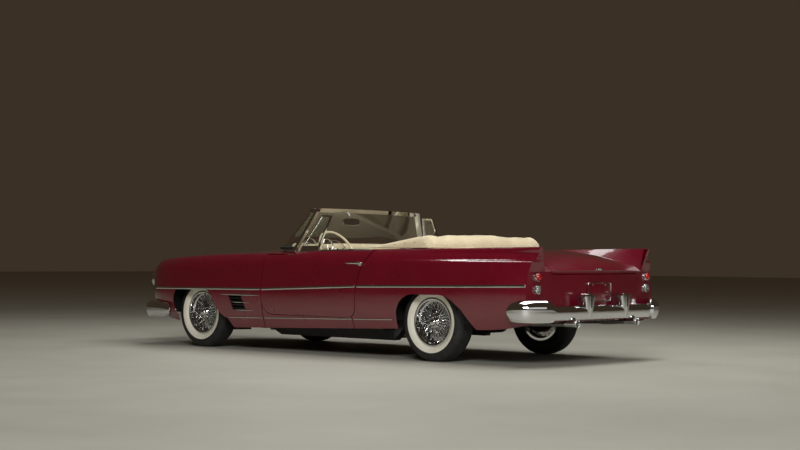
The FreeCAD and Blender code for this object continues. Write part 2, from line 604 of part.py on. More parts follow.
arm_room = box("0", "house_inner + 60", FRONT + " - 150", FRONT + " + 150", "tyre_radius", "tyre_radius + 190")
front_tub = cut(tub(FRONT, "house_inner", "half_width"), arm_room, frame_rails)
axle_room = box("0", "rear_house_inner + 60", REAR + " - 70", REAR + " + 70", "tyre_radius", "tyre_radius + 140")
rear_tub = cut(tub(REAR, "rear_house_inner", "half_width"), axle_room)
keep(group(front_tub, mirror(front_tub)), "front_wheelhouses")
keep(group(rear_tub, mirror(rear_tub)), "rear_wheelhouses")

engine = box("-250", "250", FRONT + " - 330", FRONT + " + 430", "rail_bottom + 152.3", "760")
keep(engine, "engine_block")


def plane_of(body, role):
    return [f for f in body.Origin.OriginFeatures if f.Role == role][0]


def outline_sketch(body, plane, points):
    """Closed sketch of straight lines; the two distances of every corner are bound to the sheet."""
    sketch = body.newObject("Sketcher::SketchObject", "Outline")
    sketch.AttachmentSupport = (plane_of(body, plane), [""])
    sketch.MapMode = "FlatFace"
    count = len(points)
    values = [[worth(c) for c in p] for p in points]
    for i in range(count):
        (ax, ay), (bx, by) = values[i], values[(i + 1) % count]
        sketch.addGeometry(Part.LineSegment(Vector(ax, ay, 0), Vector(bx, by, 0)), False)
    for i in range(count):
        sketch.addConstraint(Sketcher.Constraint("Coincident", i, 2, (i + 1) % count, 1))
    for i, point in enumerate(points):
        for kind, text, value, tag in zip(("DistanceX", "DistanceY"), point, values[i], "xy"):
            sketch.addConstraint(Sketcher.Constraint(kind, -1, 1, i, 1, value))
            sketch.renameConstraint(sketch.ConstraintCount - 1, "%s%d" % (tag, i))
            if re.search("[a-z]", str(text)):
                sketch.setExpression("Constraints.%s%d" % (tag, i), linked(text))
    return sketch


def revolved(name, points, x="0", y="0", z="0", turn=None):
    """Revolution about the body's X axis of an outline in (along X, radius)."""
    body = doc.addObject("PartDesign::Body", name)
    sketch = outline_sketch(body, "XY_Plane", points)
    turned = body.newObject("PartDesign::Revolution", "Turned")
    turned.Profile = sketch
    turned.ReferenceAxis = (sketch, ["H_Axis"])
    turned.Angle = 360
    if turn:
        body.Placement = Placement(Vector(), turn)
    return bind(body, Placement__Base__x=x, Placement__Base__y=y, Placement__Base__z=z)


def padded(name, points, width, x="0", y="0", z="0", rounding=0, turn=None):
    """Side outline in (Y, Z) padded evenly to both sides of the body's YZ plane, long edges rounded."""
    body = doc.addObject("PartDesign::Body", name)
    sketch = outline_sketch(body, "YZ_Plane", points)
    pad = body.newObject("PartDesign::Pad", "Width")
    pad.Profile = sketch
    pad.Midplane = True
    bind(pad, Length=width)
    if rounding:
        doc.recompute()
        fillet = body.newObject("PartDesign::Fillet", "Round")
        fillet.Base = (pad, ["Edge%d" % (i + 1) for i in range(len(pad.Shape.Edges))])
        fillet.Radius = rounding
    if turn:
        body.Placement = Placement(Vector(), turn)
    return bind(body, Placement__Base__x=x, Placement__Base__y=y, Placement__Base__z=z)


# rear axle: tube with a bulging differential and brake flanges, turned about X
AXLE_END = "(rear_track/2 - 30.3)"
rear_axle_tube = revolved("RearAxle", [
    ("-%s" % AXLE_END, 0), ("-%s" % AXLE_END, 24), ("-%s + 5" % AXLE_END, 24), ("-%s + 5" % AXLE_END, 128), ("-%s + 65" % AXLE_END, 128),
    ("-%s + 65" % AXLE_END, 40), (-170, 42), (-90, 112), (90, 112), (170, 42), ("%s - 65" % AXLE_END, 40), ("%s - 65" % AXLE_END, 128),
    ("%s - 5" % AXLE_END, 128), ("%s - 5" % AXLE_END, 24), (AXLE_END, 24), (AXLE_END, 0)],
    y=REAR, z="tyre_radius")
keep(rear_axle_tube, "rear_axle")

SPRING_WIDTH, SPRING_THICK, SPRING_REACH, SEAT_GAP = 64, 30, 420, 0.3


def leaf_spring(x):
    """Arched leaf under the axle tube, both eyes under the raised rail."""
    eye, low = rb + KICK_UP - SEAT_GAP, D.tyre_radius - 41 - SEAT_GAP
    y0, y1, t = rear_axle - SPRING_REACH, rear_axle + SPRING_REACH, SPRING_THICK
    x -= SPRING_WIDTH / 2
    pts = [Vector(x, y0, eye - t), (Vector(x, rear_axle, low - t), Vector(x, y1, eye - t)),
           Vector(x, y1, eye), (Vector(x, rear_axle, low), Vector(x, y0, eye))]
    return prism(pts, Vector(SPRING_WIDTH, 0, 0))


keep(group(leaf_spring(AXLE_RAIL_X), leaf_spring(-AXLE_RAIL_X)), "leaf_springs")

# front suspension: cross member, lower and upper arms to the knuckles
arm_in, arm_out = FRONT_RAIL_X - 30, D.kingpin_x + 16
lower_z, upper_z = D.tyre_radius - 173, D.tyre_radius + 141
LOWER_THICK, UPPER_THICK, PIN_GAP = 28, 22, 0.3


def arm(z, y_spread, thick):
    pts = [Vector(arm_in, front_axle - y_spread, z), Vector(arm_out, front_axle - 17, z), Vector(arm_out, front_axle + 17, z),
           Vector(arm_in, front_axle + y_spread, z)]
    return prism(pts, Vector(0, 0, thick))


lower_arm, upper_arm = arm(lower_z, 150, LOWER_THICK), arm(upper_z, 110, UPPER_THICK)
tower = block(300, 375, front_axle - 110, front_axle + 110, lower_z, upper_z + UPPER_THICK)
front_suspension = cut(fuse(lower_arm, upper_arm, tower), frame_rails)
keep(group(front_suspension, mirror(front_suspension)), "front_suspension")

# knuckle: upright with a stub axle and brake drum, turning about the kingpin
stub = cylinder("24", "front_track/2 - kingpin_x - 30.3", "kingpin_x", FRONT, "tyre_radius", "x")
drum = cylinder("128", "60", "front_track/2 - 95", FRONT, "tyre_radius", "x")
upright = block(D.kingpin_x - 18, D.kingpin_x + 18, front_axle - 20, front_axle + 20, lower_z + LOWER_THICK + PIN_GAP, upper_z - PIN_GAP)
knuckle_left = keep(fuse(upright, stub, drum), "knuckle_left")
keep(mirror(knuckle_left), "knuckle_right")

# ------------------------------------------------------------------ wheels
TYRE = [("-rim_width/2 + 9", "rim_radius + 4"), ("-rim_width/2 + 9", "rim_radius + 18"), ("-rim_width/2 - 4", "rim_radius + 21"), ("-tyre_width*0.47", "tyre_radius*0.7"), ("-tyre_width*0.5", "tyre_radius*0.79"),
        ("-tyre_width*0.47", "tyre_radius*0.9"), ("-tyre_width*%s" % SHOULDER_OUT, "tyre_radius*%s" % SHOULDER_UP), ("-tyre_width*0.2", "tyre_radius"),
        ("tyre_width*0.2", "tyre_radius"), ("tyre_width*%s" % SHOULDER_OUT, "tyre_radius*%s" % SHOULDER_UP), ("tyre_width*0.47", "tyre_radius*0.9"),
        ("tyre_width*0.5", "tyre_radius*0.79"), ("tyre_width*0.47", "tyre_radius*0.7"), ("rim_width/2 + 4", "rim_radius + 21"), ("rim_width/2 - 9", "rim_radius + 18"), ("rim_width/2 - 9", "rim_radius + 4")]
RIM = [("-rim_width/2", "rim_radius - 6"), ("-rim_width/2", "rim_radius + 16"), ("-rim_width/2 + 6", "rim_radius + 16"),
       ("-rim_width/2 + 8", "rim_radius + 3"), (-34, "rim_radius + 3"), (-24, "rim_radius - 16"), (24, "rim_radius - 16"), (34, "rim_radius + 3"),
       ("rim_width/2 - 8", "rim_radius + 3"), ("rim_width/2 - 6", "rim_radius + 16"), ("rim_width/2", "rim_radius + 16"),
       ("rim_width/2", "rim_radius - 6"), ("rim_width/2 - 12", "rim_radius - 4"), (38, "rim_radius - 6"), (30, "rim_radius - 24"),
       (-30, "rim_radius - 24"), (-38, "rim_radius - 6"), ("-rim_width/2 + 12", "rim_radius - 4")]
HUB = [(-30, 0), (-30, 68), (-16, 68), (-10, 46), (36, 44), (44, 52), (52, 48), (58, 36), (78, 28), (88, 0)]


def spinner_ear(k):
    """One of the three ears of the knock-off nut."""
    ear = prism([Vector(58, -13, 20), Vector(58, 13, 20), Vector(58, 9, 78), Vector(58, -9, 78)], Vector(12, 0, 0))
    ear.Placement = Placement(Vector(), Rotation(Vector(1, 0, 0), 120 * k))
    return ear


# spokes: hub x, hub radius, rim x, lean round the axle, start angle in steps
SpokeRow = namedtuple("SpokeRow", "hub_x hub_r rim_x lean start")
SPOKE_ROWS = [SpokeRow(-20, 60, 18, 0.62, 0.0), SpokeRow(40, 44, -12, 0.50, 0.25)]


def wire_wheel():
    """Rim, hub and two crossed rows of wires, outer side towards +X."""
    wires = []
    count = int(D.spoke_count)
    reach = D.rim_radius - 20
    for spokes in SPOKE_ROWS:
        for i in range(count):
            angle = 2 * math.pi * (i + spokes.start) / count
            lean = spokes.lean if i % 2 else -spokes.lean
            inner = Vector(spokes.hub_x, spokes.hub_r * math.cos(angle), spokes.hub_r * math.sin(angle))
            out = Vector(spokes.rim_x, reach * math.cos(angle + lean), reach * math.sin(angle + lean))
            wire = doc.addObject("Part::Prism", "Spoke")
            wire.Polygon = 4
            bind(wire, Circumradius="spoke_radius")
            wire.Height = (out - inner).Length
            wire.Placement = Placement(inner, Rotation(Vector(0, 0, 1), out - inner))
            wires.append(wire)
    return fuse(revolved("Rim", RIM), revolved("Hub", HUB), *(wires + [spinner_ear(k) for k in range(3)]))


master_wheel = wire_wheel()
master_tyre = revolved("Tyre", TYRE)


def placed(shape, side, x, y):
    """A wheel or tyre on its hub; the right-hand ones are turned about Z so their outer side looks out."""
    obj = group(shape)
    obj.Placement = Placement(Vector(), Rotation(Vector(0, 0, 1), 0 if side > 0 else 180))
    return bind(obj, Placement__Base__x=x, Placement__Base__y=y, Placement__Base__z="tyre_radius")


for end, y, track in (("front", FRONT, "front_track"), ("rear", REAR, "rear_track")):
    for hand, side in (("left", 1), ("right", -1)):
        x = "%s/2" % track if side > 0 else "-%s/2" % track
        keep(placed(master_tyre, side, x, y), "tyre_%s_%s" % (end, hand))
        keep(placed(master_wheel, side, x, y), "wire_wheel_%s_%s" % (end, hand))

# ----------------------------------------------------------------- bumpers
# A face bar is a crowned section carried along its plan line. Each row is a place on the left
# half: x and y of the crown, lower and upper edge. A blade runs across; a wing wraps each corner.
BarPoint = namedtuple("BarPoint", "x y low high")
REAR_BLADE = [BarPoint(0, 2668, 375, 490), BarPoint(300, 2664, 375, 490), BarPoint(560, 2650, 375, 490), BarPoint(770, 2616, 375, 490)]
REAR_WING = [BarPoint(700, 2647, 366, 504), BarPoint(730, 2643, 360, 526), BarPoint(800, 2624, 358, 532), BarPoint(885, 2583, 358, 532),
             BarPoint(950, 2520, 360, 530), BarPoint(982, 2445, 364, 526), BarPoint(987, 2390, 376, 512), BarPoint(980, 2366, 410, 480)]
FRONT_BLADE = [BarPoint(0, -2489.5, 290, 385), BarPoint(350, -2470, 290, 385), BarPoint(600, -2418, 290, 385), BarPoint(760, -2345, 290, 385)]
FRONT_WING = [BarPoint(640, -2410, 284, 396), BarPoint(680, -2396, 277, 414), BarPoint(800, -2318, 275, 424), BarPoint(900, -2190, 275, 424),
              BarPoint(955, -2040, 276, 422), BarPoint(980, -1890, 278, 418), BarPoint(985, -1790, 290, 400), BarPoint(978, -1762, 320, 372)]
BAR_DROP = 26
REFERENCE_BUMPER_HALF = 988


def bar_ring(at, run, place, sign):
    """Section of a face bar: two arcs that meet at the crown, closed by a flat back."""
    out = Vector(run.y, -run.x, 0)
    out.normalize()
    crown = Vector(at.x * D.bumper_half / REFERENCE_BUMPER_HALF, place(at.y), 0)
    rise = at.high - at.low
    drop = min(BAR_DROP, rise * 0.3)

    def spot(depth, share):
        return crown - out * depth * sign + Vector(0, 0, at.low + rise * share)
    corners = [spot(drop, 0), spot(0, 0.52), spot(drop * 1.3, 1), spot(drop * 1.3 + D.bumper_thick, 0.93), spot(drop + D.bumper_thick, 0.07)]
    return Part.Wire([Part.Arc(corners[0], spot(drop * 0.28, 0.22), corners[1]).toShape(),
                      Part.Arc(corners[1], spot(drop * 0.3, 0.82), corners[2]).toShape()]
                     + [Part.LineSegment(a, b).toShape() for a, b in zip(corners[2:], corners[3:] + corners[:1])])


def face_bar(rows, place, across=False):
    """Lofted bar through its rows; across joins it to its own mirror image through the centre plane."""
    if across:
        rows = [BarPoint(-r.x, r.y, r.low, r.high) for r in rows[:0:-1]] + rows
    sign = 1 if rows[0].y < 0 else -1
    rings = []
    for i, at in enumerate(rows):
        a, b = rows[max(i - 1, 0)], rows[min(i + 1, len(rows) - 1)]
        rings.append(bar_ring(at, Vector(b.x - a.x, b.y - a.y, 0), place, sign))
    return free(Part.makeLoft(rings, True, False), "FaceBar")


# guard: a tapering upright with a broad pad on top; rows are height, half width, back and front
GUARD = [(390, 16, 2636, 2671), (470, 19, 2632, 2679.5), (535, 25, 2622, 2679), (566, 40, 2596, 2678), (584, 34, 2600, 2668)]


def guard_ring(z, reach, back, front):
    x0, x1, y0, y1 = 258 - reach, 258 + reach, rear_y(back), rear_y(front)
    return Part.Wire([Part.LineSegment(Vector(x1, y0, z), Vector(x0, y0, z)).toShape(),
                      Part.LineSegment(Vector(x0, y0, z), Vector(x0, y1 - 12, z)).toShape(),
                      Part.Arc(Vector(x0, y1 - 12, z), Vector(258, y1, z), Vector(x1, y1 - 12, z)).toShape(),
                      Part.LineSegment(Vector(x1, y1 - 12, z), Vector(x1, y0, z)).toShape()])


guard = free(Part.makeLoft([guard_ring(*row) for row in GUARD], True, True), "Guard")
irons = [block(a, b, tail - 90, rear_y(2628), *IRON_Z) for a, b in iron_zone]
rear_wing = face_bar(REAR_WING, rear_y)
keep(fuse(face_bar(REAR_BLADE, rear_y, across=True), rear_wing, mirror(rear_wing), guard, mirror(guard), *irons), "rear_bumper")
front_wing = face_bar(FRONT_WING, front_y)
front_irons = [block(x - 25, x + 25, front_y(-2450), nose + 190, rb + 150, rb + 195) for x in (FRONT_RAIL_X, -FRONT_RAIL_X)]
keep(cut(fuse(face_bar(FRONT_BLADE, front_y, across=True), front_wing, mirror(front_wing), *front_irons), nose_panel), "front_bumper")

# ------------------------------------------------------------------- grille
MESH_BARS, MESH_PITCH, BAR_FIT, RIM_WALL = 6, 43, 0.5, 9
bars = []
low, high, reach = level(MOUTH_LOW) + RIM_WALL, level(MOUTH_HIGH) - RIM_WALL, MOUTH_HALF + MOUTH_END * 0.55
for k in range(MESH_BARS):
    z = low + (k + 0.5) * (high - low) / MESH_BARS
    bars.append(block(-reach, reach, nose + 14, nose + 32, z - 3, z + 3))
for k in range(-int(reach / MESH_PITCH), int(reach / MESH_PITCH) + 1):
    bars.append(block(k * MESH_PITCH - 2.5, k * MESH_PITCH + 2.5, nose + 20, nose + 38, low - 1, high + 1))
grille_zone = mouth(BAR_FIT, nose + 3, 40)
grille_rim = cut(mouth(BAR_FIT, nose + 3, 36), mouth(RIM_WALL, nose, 60))
keep(fuse(grille_rim, common(fuse(*bars), grille_zone)), "grille")

# -------------------------------------------------------------------- lamps
HEADLAMP = [(0, 0), (0, HEADLAMP_RADIUS), (110, HEADLAMP_RADIUS), (128, 90), (122, 80), (132, 60), (140, 30), (143, 0)]
headlamps = [revolved("Headlamp", HEADLAMP, x=str(x), y=NOSE + " + 122", z=str(HEADLAMP_Z), turn=Rotation(Vector(0, 0, 1), -90))
             for x in (HEADLAMP_X, -HEADLAMP_X)]
keep(group(*headlamps), "headlamps")
TAIL_LAMP = [(-60, 0), (-60, 38), (0, 38), (8, 34), (8, 30), (26, 22), (34, 0)]
REVERSE_LAMP = [(-60, 0), (-60, 40), (6, 40), (12, 36), (12, 28), (16, 0)]


def lamp(outline, x, y, z, label):
    pair = []
    for side in (1, -1):
        pair.append(revolved("Lamp", outline, x=str(side * x), y=str(y), z=str(z), turn=Rotation(Vector(0, 0, 1), 90)))
    return keep(group(*pair), label)


def tail_face(x):
    return tail - TAIL_BOW * (x / half(900)) ** 2


lamp(TAIL_LAMP, TAIL_LAMP_AT[0], tail_face(776) + 2, TAIL_LAMP_AT[1], "tail_lamps")
lamp(REVERSE_LAMP, REVERSE_LAMP_AT[0], tail_face(774) + 2, REVERSE_LAMP_AT[1], "reverse_lamps")
# plate frame stands on the tail panel
keep(cut(block(-166, 166, tail - 4, tail + 14, level(PLATE_Z) - 77.5, level(PLATE_Z) + 77.5),
         block(-154, 154, tail + 6, tail + 60, level(PLATE_Z) - 66, level(PLATE_Z) + 66), outer, *plate_bolts), "plate_frame")
# side vents behind the front wheels: a louvred box behind the slot
vane = []
for z in (385, 416, 447, 478):
    shift = (z - 373) * -0.5
    vane.append(block(D.half_width - 62, D.half_width - 12, mid - 900 + shift * 0.5 - 10, mid - 700, z, z + 8))
vent_box = cut(side_prism([(-945, 524), (-742, 524), (-676, 363), (-878, 363)], D.half_width - 70, D.half_width - 24), shell)
vent_core = side_prism(SLOT, D.half_width - 60, D.half_width + 60)
vent_vanes = [common(v, vent_core) for v in vane]
vent_left = fuse(cut(vent_box, vent_core), *vent_vanes)
keep(group(vent_left, mirror(vent_left)), "fender_vents")

# ----------------------------------------------------------------- interior
DASH = [(-160, 700), (0, 690), (40, 720), (50, 800), (30, 880), (-20, 905), (-160, 905)]
dash_body = padded("Dash", DASH, "2*cabin_half - 1", y=MID + " + cabin_front", rounding=8)
SEAT = [(-560, 0), (40, 0), (140, 580), (60, 600), (-40, 310), (-540, 250), (-580, 220)]
over_tunnel = box("-140.3", "140.3", MID + " - 700", MID + " + cabin_rear", "0", "floor_height + 110.3")


def seat(name, x, y, width):
    return cut(padded(name, SEAT, width, x=x, y=y, z="floor_height + 0.3", rounding=14), over_tunnel)


keep(group(*[seat("FrontSeat", x, MID + " + 330", "620") for x in ("365", "-365")]), "front_seats")
REAR_SEAT = [(-215, 0), (85, 0), (135, 580), (55, 600), (-20, 320), (-190, 270), (-225, 230)]
rear_bench = padded("RearSeat", REAR_SEAT, "1180", y=MID + " + cabin_rear - 150", z="floor_height + 0.3", rounding=14)
keep(cut(rear_bench, over_tunnel), "rear_seat")

# folded top under its boot
BOOT = [(0, 0), (22, 62), (90, 108), (230, 122), (420, 118), (540, 96), (600, 40), (612, 0)]
# x, share of the crown, front and rear edge behind the cabin's rear edge
BOOT_RINGS = [(-772, 0.3, -165, 470), (-735, 0.72, -185, 520), (-560, 0.95, -110, 560), (0, 1.0, -50, 590),
              (560, 0.95, -110, 560), (735, 0.72, -185, 520), (772, 0.3, -165, 470)]


def boot_ring(x, crown, front, rear):
    base = level(948)
    pts = [Vector(x, mid + D.cabin_rear + 8 + front + (rear - front) * y / 612, base + z * crown) for y, z in BOOT]
    return Part.makePolygon(pts + [pts[0]])


boot_rings = [boot_ring(half(x), c, f, r) for x, c, f, r in BOOT_RINGS]
boot = free(Part.makeLoft(boot_rings, True, True), "Boot")
doc.recompute()
raised = free(outer.Shape.translated(Vector(0, 0, 0.3)), "RaisedForm")
keep(cut(boot, raised), "boot_cover")

# steering wheel and column
axis = Vector(0, math.cos(math.radians(D.column_angle)), math.sin(math.radians(D.column_angle)))
hub_at = Vector(D.wheel_x, mid + D.wheel_y, D.wheel_z)
face = Rotation(Vector(0, 0, 1), axis)
GRIP_SIDES = 10
turns = [2 * math.pi * (k + 0.5) / GRIP_SIDES for k in range(GRIP_SIDES)]
grip = [("wheel_tube*(%.4f)" % math.cos(t), "wheel_radius + wheel_tube*(%.4f)" % math.sin(t)) for t in turns]
rim = revolved("WheelRim", grip, *[str(c) for c in hub_at], turn=Rotation(Vector(1, 0, 0), axis))
boss = doc.addObject("Part::Cylinder", "WheelBoss")
boss.Radius, boss.Height = 34, 52
boss.Placement = Placement(hub_at - axis * 40, face)
arms = []
for turn in (0, 180, 90):
    arm_bar = doc.addObject("Part::Box", "WheelSpoke")
    arm_bar.Length, arm_bar.Width, arm_bar.Height = D.wheel_radius, 24, 8
    arm_bar.Placement = Placement(hub_at - axis * 6, face.multiply(Rotation(Vector(0, 0, 1), turn))).multiply(Placement(Vector(0, -12, 0), Rotation()))
    arms.append(arm_bar)
keep(fuse(rim, boss, *arms), "steering_wheel")


def column_tube(radius, length):
    tube = doc.addObject("Part::Cylinder", "Column")
    tube.Radius, tube.Height = radius, length
    tube.Placement = Placement(hub_at - axis * (40.3 + length), face)
    return tube


COLUMN_RADIUS, COLUMN_LENGTH = 26, 465
keep(column_tube(COLUMN_RADIUS, COLUMN_LENGTH), "steering_column")
keep(cut(common(dash_body, lid_core), column_tube(COLUMN_RADIUS + 0.5, COLUMN_LENGTH)), "dashboard")

# mirror: a stalk down from the header and a flat housing
MIRROR_REACH, MIRROR_RISE, MIRROR_DEPTH, STALK = 105, 30, 18, 12
mirror_at = Vector(0, mid - 285, level(1200))
stalk = bar(mirror_at + Vector(0, 8, 0), Vector(0, mid - 322, level(1296)), STALK, STALK)
housing = block(-MIRROR_REACH, MIRROR_REACH, mirror_at.y, mirror_at.y + MIRROR_DEPTH, mirror_at.z - MIRROR_RISE, mirror_at.z + MIRROR_RISE)
keep(fuse(cut(free(stalk, "Stalk"), windshield_frame), housing), "rear_view_mirror")

# door handles: spear-shaped levers, plan outline as (how far out from the widest line, y)
HANDLE = [(-16, 565), (2, 605), (4, 730), (-14, 770), (-40, 750), (-40, 585)]
HANDLE_Z, HANDLE_RISE = 802, 18
lever = prism([Vector(D.half_width + out, mid + y, level(HANDLE_Z)) for out, y in HANDLE], Vector(0, 0, HANDLE_RISE))
door_handle_left = keep(cut(lever, door_left), "door_handle_left")
keep(mirror(door_handle_left), "door_handle_right")
keep(cut(block(-60, 60, tail - 30, tail + 30, level(772), level(790)), outer), "trunk_handle")

doc.recompute()
# ---------------------------------------------------------------- checks and files
failed = [o.Label for o in doc.Objects if "Invalid" in o.State or "Error" in o.State]
if failed:
    raise SystemExit("failed objects: %s" % failed)
for piece in parts:
    if piece.Shape.isNull() or not piece.Shape.isValid():
        raise SystemExit("bad shape: " + piece.Label)
os.makedirs("parts", exist_ok=True)
for piece in parts:
    s = piece.Shape
    print("%-24s solids %d volume %.5f faces %d" % (piece.Label, len(s.Solids), s.Volume / 1e9, len(s.Faces)))
    s.exportStep("parts/%s.step" % piece.Label)
print("parts", len(parts))
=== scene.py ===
import bpy
import bmesh
import functools
import json
from math import copysign, cos, exp, pi, radians, sin
from mathutils import Matrix, Vector, noise
from mathutils.bvhtree import BVHTree


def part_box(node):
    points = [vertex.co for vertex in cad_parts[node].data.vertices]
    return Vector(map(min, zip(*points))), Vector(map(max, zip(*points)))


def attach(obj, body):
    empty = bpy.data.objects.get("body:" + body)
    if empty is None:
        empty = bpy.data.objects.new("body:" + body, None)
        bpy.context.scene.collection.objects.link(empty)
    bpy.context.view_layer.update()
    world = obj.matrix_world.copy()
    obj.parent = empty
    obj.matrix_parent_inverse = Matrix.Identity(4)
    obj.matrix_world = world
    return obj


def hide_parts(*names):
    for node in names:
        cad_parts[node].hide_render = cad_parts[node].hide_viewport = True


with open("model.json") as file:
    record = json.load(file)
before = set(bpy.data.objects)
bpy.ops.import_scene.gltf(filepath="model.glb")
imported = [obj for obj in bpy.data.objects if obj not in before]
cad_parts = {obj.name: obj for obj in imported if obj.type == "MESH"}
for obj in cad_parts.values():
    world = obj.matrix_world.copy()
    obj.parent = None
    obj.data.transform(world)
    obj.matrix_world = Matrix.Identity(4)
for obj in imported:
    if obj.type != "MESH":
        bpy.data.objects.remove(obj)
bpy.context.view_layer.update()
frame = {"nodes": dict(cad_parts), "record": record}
nodes = frame["nodes"]
mm = 0.001
scene = bpy.context.scene
print("frame loaded:", len(nodes), "nodes")


def linear(hexColor):
    out = []
    for i in (1, 3, 5):
        c = int(hexColor[i:i + 2], 16) / 255
        out.append(c / 12.92 if c <= 0.04045 else ((c + 0.055) / 1.055) ** 2.4)
    return (*out, 1.0)


def addNode(tree, kind, links=None, **settings):
    # a setting is a property of the node, or else one of its inputs
    made = tree.nodes.new(kind)
    for key, value in settings.items():
        if hasattr(made, key):
            setattr(made, key, value)
        else:
            made.inputs[key.replace("_", " ")].default_value = value
    for socket, source in (links or {}).items():
        tree.links.new(source, made.inputs[socket])
    return made


def newMaterial(name, **shader):
    mat = bpy.data.materials.new(name)
    mat.use_nodes = True
    tree = mat.node_tree
    bsdf = tree.nodes["Principled BSDF"]
    for key, value in shader.items():
        bsdf.inputs[key.replace("_", " ")].default_value = linear(value) if isinstance(value, str) else value
    where = addNode(tree, "ShaderNodeTexCoord").outputs["Object"]
    return mat, tree, bsdf, where


def mottle(tree, where, size, low, high, detail=3.0):
    # soft cloud of the given size, running between two values
    cloud = addNode(tree, "ShaderNodeTexNoise", {"Vector": where}, Scale=1 / size, Detail=detail)
    ramp = addNode(tree, "ShaderNodeMapRange", {"Value": cloud.outputs["Fac"]},
        **{"From_Min": 0.3, "From_Max": 0.7, "To_Min": low, "To_Max": high})
    return ramp.outputs["Result"]


def mixColors(tree, factor, a, b):
    mix = addNode(tree, "ShaderNodeMix", data_type="RGBA")
    tree.links.new(factor, mix.inputs[0])
    mix.inputs[6].default_value, mix.inputs[7].default_value = linear(a), linear(b)
    return mix.outputs[2]


def bumpFrom(tree, bsdf, height, depth, strength=1.0):
    bump = addNode(tree, "ShaderNodeBump", {"Height": height}, Distance=depth, Strength=strength)
    tree.links.new(bump.outputs["Normal"], bsdf.inputs["Normal"])


def twoTone(name, a, b, cloudSize, rough, roughSize, **shader):
    # the usual start: two near colours in soft clouds and a roughness that wanders
    mat, tree, bsdf, where = newMaterial(name, **shader)
    tree.links.new(mixColors(tree, mottle(tree, where, cloudSize, 0.0, 1.0), a, b),
        bsdf.inputs["Base Color"])
    tree.links.new(mottle(tree, where, roughSize, *rough), bsdf.inputs["Roughness"])
    return mat, tree, bsdf, where


def maroonLacquer():
    # acrylic lacquer, rubbed out: a deep colour under a clear hard shine
    return twoTone("maroonLacquer", "#650019", "#6D021D", 400 * mm, (0.26, 0.34), 150 * mm, IOR=1.5,
        Coat_Weight=1.0, Coat_Roughness=0.025, Coat_IOR=1.6)[0]


def chromePlate(name="chromePlate", color="#DADBDC", rough=(0.03, 0.08)):
    # nickel-chrome on steel or die casting: a mirror with a faint polishing haze
    mat, tree, bsdf, where = newMaterial(name, Metallic=1.0, Base_Color=color)
    tree.links.new(mottle(tree, where, 60 * mm, *rough), bsdf.inputs["Roughness"])
    return mat


def windowGlass():
    # laminated safety glass: clear, with a green cast
    mat, tree, bsdf, where = newMaterial("windowGlass", IOR=1.52, Transmission_Weight=1.0,
        Base_Color="#F1F7F2")
    tree.links.new(mottle(tree, where, 200 * mm, 0.0, 0.02), bsdf.inputs["Roughness"])
    return mat


def lens(name, color, through, flute):
    # pressed glass: fine flutes inside scatter the light
    mat, tree, bsdf, where = newMaterial(name, IOR=1.5, Transmission_Weight=through, Base_Color=color,
        Coat_Weight=0.6, Coat_Roughness=0.02)
    wave = addNode(tree, "ShaderNodeTexWave", {"Vector": where}, Scale=1 / (flute * 6.3),
        bands_direction="X")
    tree.links.new(mottle(tree, where, 20 * mm, 0.06, 0.14), bsdf.inputs["Roughness"])
    bumpFrom(tree, bsdf, wave.outputs["Fac"], 1.0 * mm, 0.4)
    return mat


def hide(name, a, b):
    # pigmented upholstery leather: pebbled grain of about 2 mm, drawn at 4 mm so that it shows
    mat, tree, bsdf, where = twoTone(name, a, b, 90 * mm, (0.38, 0.55), 15 * mm, IOR=1.48)
    grain = addNode(tree, "ShaderNodeTexVoronoi", {"Vector": where}, Scale=1 / (4 * mm),
        feature="DISTANCE_TO_EDGE")
    bumpFrom(tree, bsdf, grain.outputs["Distance"], 0.5 * mm, 0.5)
    return mat


def bootCanvas():
    # cotton-faced top cloth: a plain weave of about 1 mm, drawn at 3 mm, dusty in its folds
    mat, tree, bsdf, where = twoTone("bootCanvas", "#DCCBA4", "#E8D9B4", 160 * mm, (0.75, 0.9), 30 * mm,
        IOR=1.45, Sheen_Weight=0.25, Sheen_Roughness=0.5)
    threads = [addNode(tree, "ShaderNodeTexWave", {"Vector": where}, Scale=1 / (3 * mm * 6.3),
        bands_direction=way).outputs["Fac"] for way in ("X", "Y")]
    weave = addNode(tree, "ShaderNodeMath", {0: threads[0], 1: threads[1]}, operation="MULTIPLY")
    bumpFrom(tree, bsdf, weave.outputs["Value"], 0.4 * mm, 0.5)
    return mat


def carpetPile():
    # cut-pile wool carpet: tufts of 3 mm
    mat, tree, bsdf, where = twoTone("carpetPile", "#57291F", "#6A3327", 60 * mm, (0.9, 1.0), 20 * mm,
        Sheen_Weight=0.4)
    tufts = addNode(tree, "ShaderNodeTexNoise", {"Vector": where}, Scale=1 / (3 * mm), Detail=2.0)
    bumpFrom(tree, bsdf, tufts.outputs["Fac"], 2 * mm, 0.9)
    return mat


paint = maroonLacquer()
chrome = chromePlate()
satinChrome = chromePlate("satinChrome", "#B9BABC", (0.16, 0.26))
mirrorSilver = chromePlate("mirrorSilver", "#E6E8E8", (0.0, 0.01))
chassis = twoTone("chassisEnamel", "#141414", "#211F1D", 120 * mm, (0.45, 0.65), 30 * mm, IOR=1.5)[0]
steel = twoTone("exhaustSteel", "#8B8780", "#A3A19C", 150 * mm, (0.28, 0.45), 20 * mm, Metallic=1.0)[0]
glass = windowGlass()
clearLens = lens("clearLens", "#F6F6F2", 0.9, 6 * mm)
redLens = lens("redLens", "#C8080F", 0.35, 4 * mm)
leather = hide("creamLeather", "#CDBE9C", "#D8CBAB")
maroonLeather = hide("maroonLeather", "#4C0B18", "#5A1020")
canvas = bootCanvas()
carpet = carpetPile()
